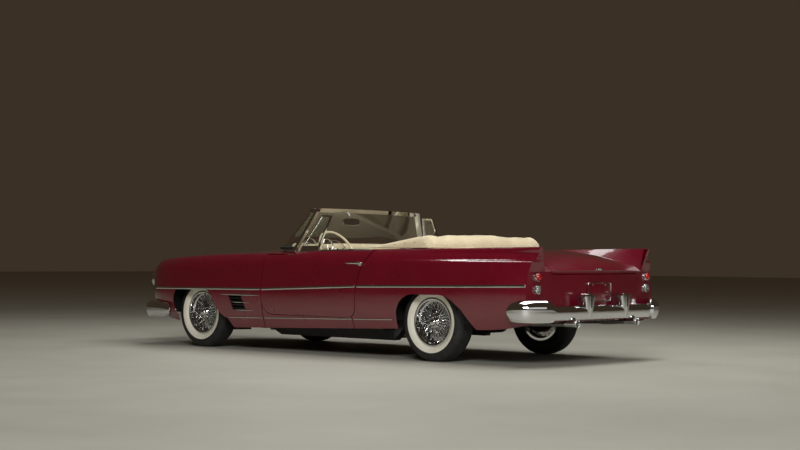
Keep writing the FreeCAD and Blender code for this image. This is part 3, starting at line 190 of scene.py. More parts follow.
# moulded rubber: black, bloomed a little grey on the tread
rubber = twoTone("tyreRubber", "#191918", "#2A2927", 50 * mm, (0.6, 0.8), 15 * mm, IOR=1.5)[0]
whiteRubber = twoTone("whiteRubber", "#E9E4D2", "#F1EDDD", 90 * mm, (0.5, 0.65), 30 * mm, IOR=1.5)[0]
# window and lamp seals
seal = twoTone("rubberSeal", "#101010", "#1B1B1B", 40 * mm, (0.5, 0.7), 10 * mm, IOR=1.5)[0]
# cast cellulose on a steel ring
cellulose = twoTone("creamCellulose", "#D9CCAA", "#E2D7B8", 50 * mm, (0.25, 0.35), 25 * mm, IOR=1.5,
    Coat_Weight=0.5, Coat_Roughness=0.08)[0]
# stoved enamel on the steel dashboard
creamPaint = twoTone("creamEnamel", "#D3C6A4", "#DACEAE", 200 * mm, (0.22, 0.32), 60 * mm, IOR=1.5,
    Coat_Weight=0.6, Coat_Roughness=0.05)[0]
darkDial = twoTone("dialBlack", "#15171A", "#1D1F22", 30 * mm, (0.35, 0.5), 10 * mm, IOR=1.5)[0]
ivoryInk = twoTone("ivoryInk", "#E9E2CC", "#F2EEDD", 20 * mm, (0.4, 0.5), 5 * mm, IOR=1.5)[0]

bySlot = {"body_paint": paint, "chrome": chrome, "chassis_black": chassis, "exhaust_steel": steel,
    "window_glass": glass, "clear_lens": clearLens, "red_lens": redLens, "tyre_rubber": rubber,
    "seat_leather": leather, "boot_canvas": canvas, "dash_paint": creamPaint, "wheel_plastic": cellulose}
slotOf = {part["node"]: part["material_slot"] for part in frame["record"]["subparts"]}
bodyOf = {name: body for body, members in frame["record"]["behaviour"]["bodies"].items() for name in members}
for name, item in nodes.items():
    item.data.materials.clear()
    item.data.materials.append(bySlot[slotOf[name]])
nodes["steering_column"].data.materials[0] = paint
print("materials assigned")


hands = (("left", 1), ("right", -1))


# shaping tools: each gives (vertices, faces), and a piece joins several
def lathe(profile, centre, along=(1, 0, 0), steps=64, closed=False):
    # profile is (distance along the axis, radius) in millimetres; closed joins its last point to its first
    axis = Vector(along).normalized()
    side = axis.orthogonal().normalized()
    other = axis.cross(side)
    verts, faces = [], []
    for k in range(steps):
        a = 2 * pi * k / steps
        spoke = side * cos(a) + other * sin(a)
        verts += [Vector(centre) + axis * (d * mm) + spoke * (r * mm) for d, r in profile]
    n = len(profile)
    for k in range(steps):
        for i in range(n if closed else n - 1):
            j, a, b = (i + 1) % n, k * n, (k + 1) % steps * n
            faces.append((a + i, a + j, b + j, b + i))
    return verts, faces


def sweep(path, section, ups, closed=False):
    # section is (sideways, upwards); ups is one direction or one for each point
    n, m = len(path), len(section)
    verts, faces = [], []
    for i, p in enumerate(path):
        a = path[i - 1] if closed or i else path[0]
        b = path[(i + 1) % n] if closed or i < n - 1 else path[-1]
        run = (Vector(b) - Vector(a)).normalized()
        up = Vector(ups[i] if isinstance(ups[0], (tuple, list, Vector)) else ups)
        side = run.cross(up).normalized()
        up = side.cross(run)
        verts += [Vector(p) + side * s + up * u for s, u in section]
    for i in range(n if closed else n - 1):
        for k in range(m):
            j, a, b = (k + 1) % m, i * m, (i + 1) % n * m
            faces.append((a + k, a + j, b + j, b + k))
    if not closed:
        faces += [tuple(range(m))[::-1], tuple(range((n - 1) * m, n * m))]
    return verts, faces


def circle(radius, sides=10, squash=1.0):
    return [(radius * cos(2 * pi * k / sides), radius * squash * sin(2 * pi * k / sides))
        for k in range(sides)]


def roundedBlock(low, high, radius, cuts=3):
    # box with rounded edges
    made = bmesh.new()
    bmesh.ops.create_cube(made, size=1.0)
    for v in made.verts:
        v.co = Vector([l + (h - l) * (c + 0.5) for l, h, c in zip(low, high, v.co)])
    bmesh.ops.bevel(made, geom=made.edges[:], offset=radius, segments=cuts, profile=0.5, affect="EDGES")
    shape = [v.co.copy() for v in made.verts], [tuple(v.index for v in f.verts) for f in made.faces]
    made.free()
    return shape


def turned(shape, matrix):
    return [matrix @ Vector(v) for v in shape[0]], shape[1]


def loft(rings, capped=True):
    # closed rings of equal count joined end to end
    m, n = len(rings[0]), len(rings)
    verts = [Vector(p) for ring in rings for p in ring]
    faces = [(i * m + k, i * m + (k + 1) % m, (i + 1) * m + (k + 1) % m, (i + 1) * m + k)
        for i in range(n - 1) for k in range(m)]
    if capped:
        faces += [tuple(range(m))[::-1], tuple(range((n - 1) * m, n * m))]
    return verts, faces


def smoothPath(points, count):
    # even points on a Catmull-Rom curve through the given ones
    pts = [Vector(p) for p in points]
    pts = [2 * pts[0] - pts[1]] + pts + [2 * pts[-1] - pts[-2]]
    out = []
    spans = len(pts) - 3
    for k in range(count + 1):
        t = spans * k / count
        i = min(int(t), spans - 1)
        u = t - i
        a, b, c, d = pts[i:i + 4]
        out.append(0.5 * (2 * b + (c - a) * u + (2 * a - 5 * b + 4 * c - d) * u * u
            + (3 * b - a - 3 * c + d) * u ** 3))
    return out


def gridFaces(nx, ny):
    # the faces of a sheet of points, ny + 1 to a row
    n = ny + 1
    return [(i * n + j, (i + 1) * n + j, (i + 1) * n + j + 1, i * n + j + 1) for i in range(nx)
        for j in range(ny)]


def gridRim(nx, ny):
    # the point numbers round the edge of that sheet
    n = ny + 1
    there = [i * n for i in range(nx + 1)] + [nx * n + j for j in range(1, n)]
    return there + [i * n + ny for i in range(nx - 1, -1, -1)] + list(range(ny - 1, 0, -1))


def smoothShade(mesh, sharp):
    mesh.polygons.foreach_set("use_smooth", [True] * len(mesh.polygons))
    mesh.set_sharp_from_angle(angle=radians(sharp))


def takeMesh(item):
    # the finished mesh of a helper object, which then goes
    scene.collection.objects.link(item)
    mesh = bpy.data.meshes.new_from_object(item.evaluated_get(bpy.context.evaluated_depsgraph_get()))
    bpy.data.objects.remove(item)
    return mesh


def placePiece(name, body, mesh, replaces):
    piece = bpy.data.objects.new(name, mesh)
    scene.collection.objects.link(piece)
    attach(piece, body)
    if replaces:
        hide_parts(*replaces)
    return piece


def addPiece(name, body, shapes, mats, sharp=35, replaces=()):
    # shapes are (vertices, faces) or (vertices, faces, material number); doubles go and faces turn outwards
    verts, faces, marks = [], [], []
    for shape in shapes:
        base = len(verts)
        verts += [tuple(v) for v in shape[0]]
        faces += [tuple(base + i for i in f) for f in shape[1]]
        marks += [shape[2] if len(shape) > 2 else 0] * len(shape[1])
    mesh = bpy.data.meshes.new(name)
    mesh.from_pydata(verts, [], faces)
    mesh.polygons.foreach_set("material_index", marks)
    made = bmesh.new()
    made.from_mesh(mesh)
    bmesh.ops.remove_doubles(made, verts=made.verts, dist=0.01 * mm)
    bmesh.ops.recalc_face_normals(made, faces=made.faces)
    made.to_mesh(mesh)
    made.free()
    for mat in mats:
        mesh.materials.append(mat)
    smoothShade(mesh, sharp)
    return placePiece(name, body, mesh, replaces)


def addBright(name, body, shapes, sharp=40, replaces=()):
    return addPiece(name, body, shapes, [chrome], sharp=sharp, replaces=replaces)


def skinOf(name):
    # a node's surface, to be felt by rays
    made = bmesh.new()
    made.from_mesh(nodes[name].data)
    tree = BVHTree.FromBMesh(made)
    made.free()
    return tree


def onSide(skin, y, z, side=1):
    # point and outward normal where a sideways ray meets the skin
    at, normal, face, far = skin.ray_cast(Vector((side * 1.3, y, z)), Vector((-side, 0, 0)))
    if at is None:
        return None
    return at, (normal if normal.x * side > 0 else -normal)


def middleOf(name):
    low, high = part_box(name)
    return [(a + b) / 2 for a, b in zip(low, high)]


tyre = {"radius": 330 * mm, "halfTread": 60, "crownDrop": 5.0, "whiteInner": 207 * mm,
    "whiteOuter": 262 * mm, "ribs": 5, "grooveWide": 5 * mm, "grooveDeep": 7 * mm, "zigzag": 3.2 * mm,
    "pitches": 78, "stepsPerPitch": 4}


def tyreShape(spec, centre, side):
    # bias-ply tyre: round shoulders, ribs parted by zigzag grooves, a white band on the outer side
    wall = [(68, 198), (70, 207), (78, 212), (86, 219), (92, 229), (96, 242), (98, 257), (98.3, 268),
        (97, 281), (93.5, 294), (87.5, 305), (79, 314.5), (68, 321.5)]
    crown = []
    tread = spec["halfTread"]
    ribWide = 2 * tread / spec["ribs"]
    gw, gd, amp = (spec[k] / mm for k in ("grooveWide", "grooveDeep", "zigzag"))
    for k in range(1, spec["ribs"]):
        x = tread - k * ribWide
        crown += [(x + gw / 2, 0, 1), (x + gw / 2 - 0.6, gd, 1), (x - gw / 2 + 0.6, gd, 1),
            (x - gw / 2, 0, 1)]
    top = [(tread, 0, 0)] + crown + [(-tread, 0, 0)]
    rows = [(x, r, 0) for x, r in wall]
    rows += [(x, spec["radius"] / mm - spec["crownDrop"] * (x / tread) ** 2 - d, w) for x, d, w in top]
    rows += [(-x, r, 0) for x, r in reversed(wall)]
    rows += [(-60, 196, 0), (-40, 205, 0), (40, 205, 0), (60, 196, 0)]
    steps = spec["pitches"] * spec["stepsPerPitch"]
    verts, faces, white = [], [], []
    n = len(rows)
    for k in range(steps):
        a = 2 * pi * k / steps
        phase = k % spec["stepsPerPitch"] / spec["stepsPerPitch"]
        shift = amp * (4 * abs(phase - 0.5) - 1)
        for x, r, w in rows:
            verts.append((centre[0] + side * (x + shift * w) * mm, centre[1] + r * mm * cos(a),
                centre[2] + r * mm * sin(a)))
    for k in range(steps):
        for i in range(n):
            j, a, b = (i + 1) % n, k * n, (k + 1) % steps * n
            faces.append((a + i, a + j, b + j, b + i))
            middle = (rows[i][1] + rows[j][1]) / 2
            white.append(rows[i][0] > 65 and rows[j][0] > 65
                and spec["whiteInner"] / mm < middle < spec["whiteOuter"] / mm)
    black = verts, [f for f, w in zip(faces, white) if not w], 0
    band = verts, [f for f, w in zip(faces, white) if w], 1
    return [black, band]


wheel = {"spokesPerRow": 48, "wire": 1.8 * mm, "rimReach": 169 * mm, "nippleLong": 12 * mm,
    "rows": [(-22, 60, 24, 0.42), (-6, 58, -6, 0.36), (34, 47, 10, 0.44), (46, 48, -22, 0.5)]}


def mathNode(tree, how, *values):
    made = tree.nodes.new("ShaderNodeMath")
    made.operation = how
    for i, v in enumerate(values):
        if isinstance(v, (int, float)):
            made.inputs[i].default_value = v
        else:
            tree.links.new(v, made.inputs[i])
    return made.outputs[0]


def newTree(name, inputs):
    # a geometry node group with these number inputs and a finish; also gives its inputs and a maker of sums
    tree = bpy.data.node_groups.new(name, "GeometryNodeTree")
    tree.interface.new_socket("Geometry", in_out="OUTPUT", socket_type="NodeSocketGeometry")
    for title in inputs:
        kind = "NodeSocketInt" if title == "count" else "NodeSocketFloat"
        tree.interface.new_socket(title, in_out="INPUT", socket_type=kind)
    tree.interface.new_socket("finish", in_out="INPUT", socket_type="NodeSocketMaterial")
    return tree, tree.nodes.new("NodeGroupInput").outputs, functools.partial(mathNode, tree)


def endTree(tree, geometry, finish):
    # the copies become real faces with their finish
    real = addNode(tree, "GeometryNodeRealizeInstances", {"Geometry": geometry})
    finished = addNode(tree, "GeometryNodeSetMaterial", {"Geometry": real.outputs[0], "Material": finish})
    addNode(tree, "NodeGroupOutput", {0: finished.outputs[0]})
    return tree


def laceTree():
    # one crossed row of wires between a hub circle and a rim circle, all about X
    tree, ask, m = newTree("wireLace",
        ["count", "hubX", "hubRadius", "rimX", "rimRadius", "lean", "wire", "nippleLong"])
    index = addNode(tree, "GeometryNodeInputIndex").outputs[0]
    turn = m("DIVIDE", m("MULTIPLY", index, 2 * pi), ask["count"])
    lean = m("MULTIPLY", ask["lean"], m("SUBTRACT", m("MULTIPLY", m("MODULO", index, 2.0), 2.0), 1.0))

    def spot(x, radius, angle):
        across, up = m("MULTIPLY", radius, m("COSINE", angle)), m("MULTIPLY", radius, m("SINE", angle))
        return addNode(tree, "ShaderNodeCombineXYZ", {"X": x, "Y": across, "Z": up}).outputs[0]

    start = spot(ask["hubX"], ask["hubRadius"], turn)
    end = spot(ask["rimX"], ask["rimRadius"], m("ADD", turn, lean))
    along = addNode(tree, "ShaderNodeVectorMath", {0: end, 1: start}, operation="SUBTRACT").outputs[0]
    length = addNode(tree, "ShaderNodeVectorMath", {0: along}, operation="LENGTH").outputs["Value"]
    facing = addNode(tree, "FunctionNodeAlignRotationToVector", {"Vector": along},
        axis="Z").outputs["Rotation"]
    rod = addNode(tree, "GeometryNodeMeshCylinder", {"Radius": ask["wire"]}, Vertices=6, Depth=1.0)
    lifted = addNode(tree, "GeometryNodeTransform", {"Geometry": rod.outputs["Mesh"]},
        Translation=(0, 0, 0.5))
    sleeve = addNode(tree, "GeometryNodeMeshCylinder",
        {"Radius": m("MULTIPLY", ask["wire"], 1.7), "Depth": ask["nippleLong"]}, Vertices=8)
    joined = tree.nodes.new("GeometryNodeJoinGeometry")
    for source, at, stretch in ((lifted.outputs["Geometry"], start, {"Z": length}),
            (sleeve.outputs["Mesh"], end, {})):
        points = addNode(tree, "GeometryNodePoints", {"Count": ask["count"], "Position": at})
        size = addNode(tree, "ShaderNodeCombineXYZ", stretch, X=1.0, Y=1.0, Z=1.0)
        copies = addNode(tree, "GeometryNodeInstanceOnPoints",
            {"Points": points.outputs[0], "Instance": source, "Rotation": facing, "Scale": size.outputs[0]})
        tree.links.new(copies.outputs["Instances"], joined.inputs[0])
    return endTree(tree, joined.outputs[0], ask["finish"])


def grown(tree, values):
    # the mesh that a tree makes with these inputs, in the piece's own metres about the origin
    holder = bpy.data.objects.new("grower", bpy.data.meshes.new("grower"))
    mod = holder.modifiers.new("grow", "NODES")
    mod.node_group = tree
    for item in tree.interface.items_tree:
        if item.in_out == "INPUT" and item.name in values:
            mod[item.identifier] = values[item.name]
    return takeMesh(holder)


def meshShape(mesh, mark=0):
    return [v.co.copy() for v in mesh.vertices], [tuple(p.vertices) for p in mesh.polygons], mark


def wheelShapes(spec, lace):
    # outer side towards +X, about the origin: rim, hub with a deep cone, three-eared knock-off and the wires
    rim = lathe([(73, 184), (75, 188), (75.5, 198), (74, 206), (70, 207), (67, 203), (66, 195), (58, 193),
        (40, 192), (33, 186), (27, 176), (20, 174), (-20, 174), (-27, 176), (-33, 190), (-66, 195),
        (-70, 207), (-75, 204), (-75, 184), (-62, 186), (-38, 183), (-30, 170), (-20, 167.5), (20, 167.5),
        (30, 170), (38, 182), (62, 183)], (0, 0, 0), steps=128, closed=True)
    hub = lathe([(-30, 0), (-30, 62), (-27, 66), (-18, 66), (-14, 62), (-12, 50), (-8, 46), (30, 42),
        (36, 46), (40, 50), (50, 50), (54, 47), (56, 42), (57, 0)], (0, 0, 0), steps=64)
    cap = lathe([(56, 0), (56, 40), (60, 41), (64, 38), (66, 33), (76, 30), (82, 26), (86, 18), (87.5, 8),
        (87.6, 0)], (0, 0, 0), steps=48)
    ears = []
    for k in range(3):
        blade = roundedBlock((58 * mm, -11 * mm, 24 * mm), (70 * mm, 11 * mm, 76 * mm), 4.5 * mm)
        lean = [Vector((v.x - 3 * mm * (v.z / (76 * mm)) ** 2, v.y * (1.15 - 0.5 * v.z / (76 * mm)), v.z))
            for v in blade[0]]
        ears.append(turned((lean, blade[1]), Matrix.Rotation(2 * pi * k / 3, 4, "X")))
    wires = [meshShape(grown(lace, {"count": spec["spokesPerRow"], "hubX": hx * mm, "hubRadius": hr * mm,
        "rimX": rx * mm, "rimRadius": spec["rimReach"], "lean": lean, "wire": spec["wire"],
        "nippleLong": spec["nippleLong"], "finish": chrome})) for hx, hr, rx, lean in spec["rows"]]
    return [rim, hub, cap] + ears + wires


lace = laceTree()
wheelParts = wheelShapes(wheel, lace)
for end in ("front", "rear"):
    for hand, side in hands:
        corner = end + "_" + hand
        where = middleOf("tyre_" + corner)
        addPiece("tyre_%s_round" % corner, "wheel_" + corner, tyreShape(tyre, where, side),
            [rubber, whiteRubber], sharp=28, replaces=["tyre_" + corner])
        place = Matrix.Translation(where) @ Matrix.Rotation(0 if side > 0 else pi, 4, "Z")
        shapes = [turned(s, place) + tuple(s[2:]) for s in wheelParts]
        addPiece("wire_wheel_%s_laced" % corner, "wheel_" + corner, shapes, [chrome], sharp=32,
            replaces=["wire_wheel_" + corner])
print("wheels made")


sideTrim = {"strip": [(-2166, 556), (-568, 572), (617, 617), (2405, 648)], "stripHigh": 24, "stripProud": 8,
    "sill": [(-1050, 301), (617, 335), (1020, 344)], "sillHigh": 12, "sillProud": 5, "gap": 7}


def along(corners, y):
    for (ya, za), (yb, zb) in zip(corners, corners[1:]):
        if ya <= y <= yb:
            return za + (zb - za) * (y - ya) / (yb - ya)


def softBar(high, proud):
    # half-round moulding with its foot 3 mm inside the panel
    h = high / 2 * mm
    p = proud * mm
    return [(-h, -3 * mm), (-h, 0.25 * p), (-0.86 * h, 0.62 * p), (-0.5 * h, 0.92 * p), (0, p),
        (0.5 * h, 0.92 * p), (0.86 * h, 0.62 * p), (h, 0.25 * p), (h, -3 * mm)]


def taperedSweep(path, section, ups, ends):
    # a sweep whose first and last points shrink by the given factors
    verts, faces = sweep(path, section, ups)
    m, n = len(section), len(path)
    for i in range(n):
        size = ends[i] if i < len(ends) else ends[n - 1 - i] if n - 1 - i < len(ends) else 1.0
        if size != 1.0:
            for k in range(m):
                verts[i * m + k] = Vector(path[i]) + (verts[i * m + k] - Vector(path[i])) * size
    return verts, faces


def mouldings(title, corners, high, proud, names, side, gap, sizes=(0.97, 1.0), step=4):
    # feel the skins along the line, cut it where one panel ends, and lay a bar on each run
    skins = [(name, skinOf(name)) for name in names]
    runs = []
    y = corners[0][0]
    while y <= corners[-1][0]:
        z = along(corners, y)
        hits = []
        for name, skin in skins:
            hit = onSide(skin, y * mm, z * mm, side)
            if hit:
                hits.append((abs(hit[0].x), name, hit))
        if hits:
            name, hit = max(hits, key=lambda h: h[0])[1:]
            if not runs or runs[-1][0] != name or runs[-1][1][-1][0] < y - 1.5 * step:
                runs.append((name, []))
            runs[-1][1].append((y, hit))
        y += step
    made = {}
    for name, found in runs:
        trim = int(round(gap / step)) if len(runs) > 1 else 0
        found = found[trim:len(found) - trim] if len(found) > 2 * trim + 6 else []
        if not found:
            continue
        # every point near the ends, every tenth between
        kept = found[:3] + found[4:-4:10] + found[-3:]
        path = [hit[0] for y, hit in kept]
        normals = [hit[1] for y, hit in kept]
        for i in range(2, len(normals) - 2):
            normals[i] = (normals[i - 1] + normals[i] + normals[i + 1]).normalized()
        made.setdefault(bodyOf[name], []).append(taperedSweep(path, softBar(high, proud), normals, sizes))
    for body, shapes in made.items():
        addBright("%s_%s" % (title, body), body, shapes)


ventTrim = {"bars": [(-1125, -590, 514, 15), (-985, -725, 444, 12), (-945, -695, 374, 12)], "proud": 7}
handle = {"front": (470, 812), "rear": (676, 812), "feet": [(0.2, 7, 12, 0), (0.86, 15, 20, 3)],
    "rows": [(0.0, 1.5, 3), (0.12, 4.0, 6), (0.3, 6.5, 9), (0.5, 8.5, 12), (0.7, 10.5, 14), (0.84, 12.0, 15),
    (0.93, 11.0, 14), (0.98, 7.5, 12), (1.0, 2.0, 9)]}


def handleShape(spec, skin, side):
    # spear lever standing off the door on two feet, with a round button housing at its rear
    y0, z0 = spec["front"]
    y1, z1 = spec["rear"]
    rings = []
    for t, high, out in spec["rows"]:
        at, normal = onSide(skin, (y0 + (y1 - y0) * t) * mm, (z0 + (z1 - z0) * t) * mm, side)
        centre = at + normal * (out * 0.5 + 8) * mm
        rings.append([centre + Vector((0, 0, 1)) * (high * mm * s) + normal * (0.55 * out * mm * c)
            for c, s in circle(1.0, 14)])
    shapes = [loft(rings)]
    for t, radius, long, drop in spec["feet"]:
        at, normal = onSide(skin, (y0 + (y1 - y0) * t) * mm, (z0 + (z1 - z0) * t - drop) * mm, side)
        shapes.append(lathe([(-3, 0), (-3, radius * 1.25), (1.5, radius * 1.25), (4, radius),
            (long - 4, radius * 0.92), (long - 1, radius * 0.7), (long, 0)], at, along=normal, steps=28))
    return shapes


for hand, side in hands:
    skins = ["front_fender_" + hand, "door_" + hand, "rear_quarter_" + hand, "sills"]
    mouldings("side_strip_" + hand, sideTrim["strip"], sideTrim["stripHigh"], sideTrim["stripProud"],
        skins[:3], side, sideTrim["gap"])
    mouldings("sill_strip_" + hand, sideTrim["sill"], sideTrim["sillHigh"], sideTrim["sillProud"], skins,
        side, 4, sizes=(0.3, 0.7))
    fender = skinOf(skins[0])
    shapes = []
    for y0, y1, z, high in ventTrim["bars"]:
        path, ups = [], []
        for k in range(13):
            y = y0 + (y1 - y0) * k / 12
            hit = onSide(fender, y * mm, z * mm, side)
            if hit is None or abs(hit[0].x) < 0.88:
                # over the slot the bar runs level with the skin above and below it
                above, below = onSide(fender, y * mm, 0.545, side), onSide(fender, y * mm, 0.345, side)
                hit = Vector(((above[0].x + below[0].x) / 2, y * mm,
                    z * mm)), (above[1] + below[1]).normalized()
            at, normal = hit
            path.append(at)
            ups.append(normal)
        shapes.append(taperedSweep(path, softBar(high, ventTrim["proud"]), ups, (0.15, 0.55, 0.8, 0.95)))
    addBright("vent_bars_" + hand, "body", shapes)
    door = skinOf("door_" + hand)
    addPiece("door_handle_%s_lever" % hand, "door_" + hand, handleShape(handle, door, side), [chrome],
        sharp=45, replaces=["door_handle_" + hand])
nodes["fender_vents"].data.materials[0] = chassis
print("side trim laid")


dashTop = {"halfWide": 0.735, "rear": -0.388, "frontMiddle": -0.655, "crown": 0.998, "lip": 0.893}


def dashTopShape(spec):
    rings = []
    for k in range(33):
        s = -1 + 2 * k / 32
        x = spec["halfWide"] * s
        ease = (1 - abs(s) ** 10) ** 0.25 if abs(s) < 1 else 0.0
        front = spec["frontMiddle"] + 0.262 * abs(s) ** 2.4
        top = 0.958 + (spec["crown"] - 0.958) * max(ease, 0.12)
        ring = smoothPath([(x, front, 0.952), (x, (front + spec["rear"]) / 2, top - 0.006),
            (x, spec["rear"] - 0.03, top), (x, spec["rear"] + 0.004, top - 0.022),
            (x, spec["rear"] + 0.006, (top + spec["lip"]) / 2), (x, spec["rear"] - 0.008, spec["lip"]),
            (x, spec["rear"] - 0.03, spec["lip"] + 0.006)], 24)
        ring += [Vector((x, spec["rear"] - 0.04, 0.945)), Vector((x, (front + spec["rear"]) / 2, 0.945))]
        rings.append(ring)
    return loft(rings)


dial = {"radius": 60 * mm, "centres": [(0.502, -0.392, 0.984), (0.285, -0.392, 0.984)],
    "faces": (0, 0.95, 0.31), "sweep": 250, "ticks": [(25, 5, 0.9, 0.8), (7, 8, 1.8, 0.775)],
    "figures": [[0, 20, 40, 60, 80, 100, 120], [0, 20, 40, 60]]}


def markTree():
    # tick marks fanned round a dial, about Z
    tree, ask, m = newTree("dialMarks", ["count", "radius", "sweep", "long", "wide"])
    share = m("DIVIDE", addNode(tree, "GeometryNodeInputIndex").outputs[0], m("SUBTRACT", ask["count"], 1.0))
    turn = m("MULTIPLY", ask["sweep"], m("SUBTRACT", share, 0.5))
    across, up = m("MULTIPLY", ask["radius"], m("SINE", turn)), m("MULTIPLY", ask["radius"],
        m("COSINE", turn))
    spot = addNode(tree, "ShaderNodeCombineXYZ", {"X": across, "Y": up})
    points = addNode(tree, "GeometryNodePoints", {"Count": ask["count"], "Position": spot.outputs[0]})
    size = addNode(tree, "ShaderNodeCombineXYZ", {"X": ask["wide"], "Y": ask["long"]}, Z=0.6 * mm)
    tick = addNode(tree, "GeometryNodeMeshCube", {"Size": size.outputs[0]})
    spin = addNode(tree, "ShaderNodeCombineXYZ", {"Z": m("MULTIPLY", turn, -1.0)})
    copies = addNode(tree, "GeometryNodeInstanceOnPoints",
        {"Points": points.outputs[0], "Instance": tick.outputs[0], "Rotation": spin.outputs[0]})
    return endTree(tree, copies.outputs[0], ask["finish"])


def figureMesh(text, size, deep):
    curve = bpy.data.curves.new("figure", "FONT")
    curve.body, curve.size, curve.extrude = text, size, deep
    curve.align_x, curve.align_y = "CENTER", "CENTER"
    curve.resolution_u = 2
    return takeMesh(bpy.data.objects.new("figure", curve))


def facing(at, way, up=(0, 0, 1)):
    z = Vector(way).normalized()
    x = Vector(up).cross(z).normalized()
    return Matrix.Translation(at) @ Matrix((x, z.cross(x), z)).transposed().to_4x4()


def dialShapes(spec):
    # hood, bezel, face, marks with figures and needle, and cover glass of each dial
    hood, bezel, face, marks, pane = [], [], [], [], []
    tree = markTree()
    radius = spec["radius"]
    r = radius / mm
    reach = radians(spec["sweep"])
    for n, at in enumerate(spec["centres"]):
        place = facing(at, spec["faces"])

        def spun(profile, steps=48, closed=False):
            return turned(lathe(profile, (0, 0, 0), (0, 0, 1), steps, closed), place)

        def mark(shape, x, y, z):
            marks.append(turned(turned(shape, Matrix.Translation((x, y, z * mm))), place))

        hood.append(spun([(-70, 0), (-70, 0.8 * r), (-50, 0.98 * r), (-4, 1.06 * r), (2, 1.04 * r),
            (2, 0.9 * r), (-9, 0.9 * r), (-9, 0)], 56))
        bezel.append(spun([(1, 1.07 * r), (5, 1.05 * r), (7, 0.99 * r), (5, 0.92 * r), (0, 0.9 * r),
            (-5, 0.9 * r), (-5, 1.03 * r)], 64, True))
        face.append(spun([(-8, 0.9 * r), (-7.5, 0.88 * r), (-7.5, 0)]))
        for count, long, wide, ring in spec["ticks"]:
            ticks = {"count": count, "radius": ring * radius, "sweep": reach, "long": long * mm,
                "wide": wide * mm, "finish": ivoryInk}
            mark(meshShape(grown(tree, ticks)), 0, 0, -7.2)
        figures = spec["figures"][n]
        for k, value in enumerate(figures):
            a = reach * (k / (len(figures) - 1) - 0.5)
            mark(meshShape(figureMesh(str(value), 12 * mm, 0.2 * mm)), 0.57 * radius * sin(a),
                0.57 * radius * cos(a), -7.1)
        needle = roundedBlock((-0.8 * mm, -12 * mm, -6.6 * mm), (0.8 * mm, 0.7 * radius, -5.8 * mm),
            0.3 * mm, cuts=1)
        marks.append(turned(turned(needle, Matrix.Rotation(1.9 - 0.7 * n, 4, "Z")), place))
        marks.append(spun([(-7.4, 5), (-5, 4.5), (-4.6, 0)], 20))
        pane.append(spun([(-2, 0.89 * r), (-1.2, 0.6 * r), (-0.8, 0), (-1.8, 0), (-2.2, 0.6 * r),
            (-3, 0.89 * r)]))
    return hood, bezel, face, marks, pane


hood, bezel, face, marks, pane = dialShapes(dial)
addPiece("dash_top", "body", [dashTopShape(dashTop)], [creamPaint], sharp=50)
addPiece("dial_hoods", "body", hood, [creamPaint], sharp=50)
addBright("dial_bezels", "body", bezel)
addPiece("dial_faces", "body", face, [darkDial], sharp=40)
addPiece("dial_marks", "body", marks, [ivoryInk], sharp=30)
addPiece("dial_glasses", "body", pane, [glass], sharp=40)

dashFittings = {"knobs": [-0.03, 0.05, 0.13, 0.66], "knobHeight": 0.76, "radio": (-0.12, 0.0),
    "glovebox": (-0.62, -0.22, 0.735, 0.86)}


def dashShapes(spec):
    face = skinOf("dashboard")

    def on(x, z):
        return face.ray_cast(Vector((x, 0.1, z)), Vector((0, -1, 0)))[:2]

    shapes = []
    for x in spec["knobs"]:
        at, normal = on(x, spec["knobHeight"])
        shapes.append(lathe([(-2, 0), (-2, 12), (2, 11), (5, 5), (12, 5), (14, 10), (22, 11), (25, 8),
            (26, 0)], at, along=normal, steps=28))
    x0, x1, z0, z1 = spec["glovebox"]
    corners = [(x0, z0), (x0, z1), (x1, z1), (x1, z0)]
    path = []
    for k, (x, z) in enumerate(corners):
        xn, zn = corners[(k + 1) % 4]
        path += [(x + (xn - x) * t / 6, z + (zn - z) * t / 6) for t in range(6)]
    points = [on(x, z) for x, z in path]
    shapes.append(sweep([p for p, n in points], circle(2.4 * mm, 6), [n for p, n in points], closed=True))
    at, normal = on((x0 + x1) / 2, z1 - 0.025)
    shapes.append(lathe([(-2, 0), (-2, 13), (6, 12), (9, 8), (10, 0)], at, along=normal, steps=28))
    xa, xb = spec["radio"]
    low = on((xa + xb) / 2, 0.81)[0]
    shapes.append(roundedBlock((xa - 0.07, low.y - 0.01, 0.79), (xb + 0.07, low.y + 0.012, 0.845), 5 * mm))
    return shapes


addBright("dash_fittings", "body", dashShapes(dashFittings))

steering = {"centre": (0.400, -0.155, 0.917), "slope": 30, "radius": 208 * mm, "tube": 11 * mm,
    "ring": 120 * mm, "grips": 30}


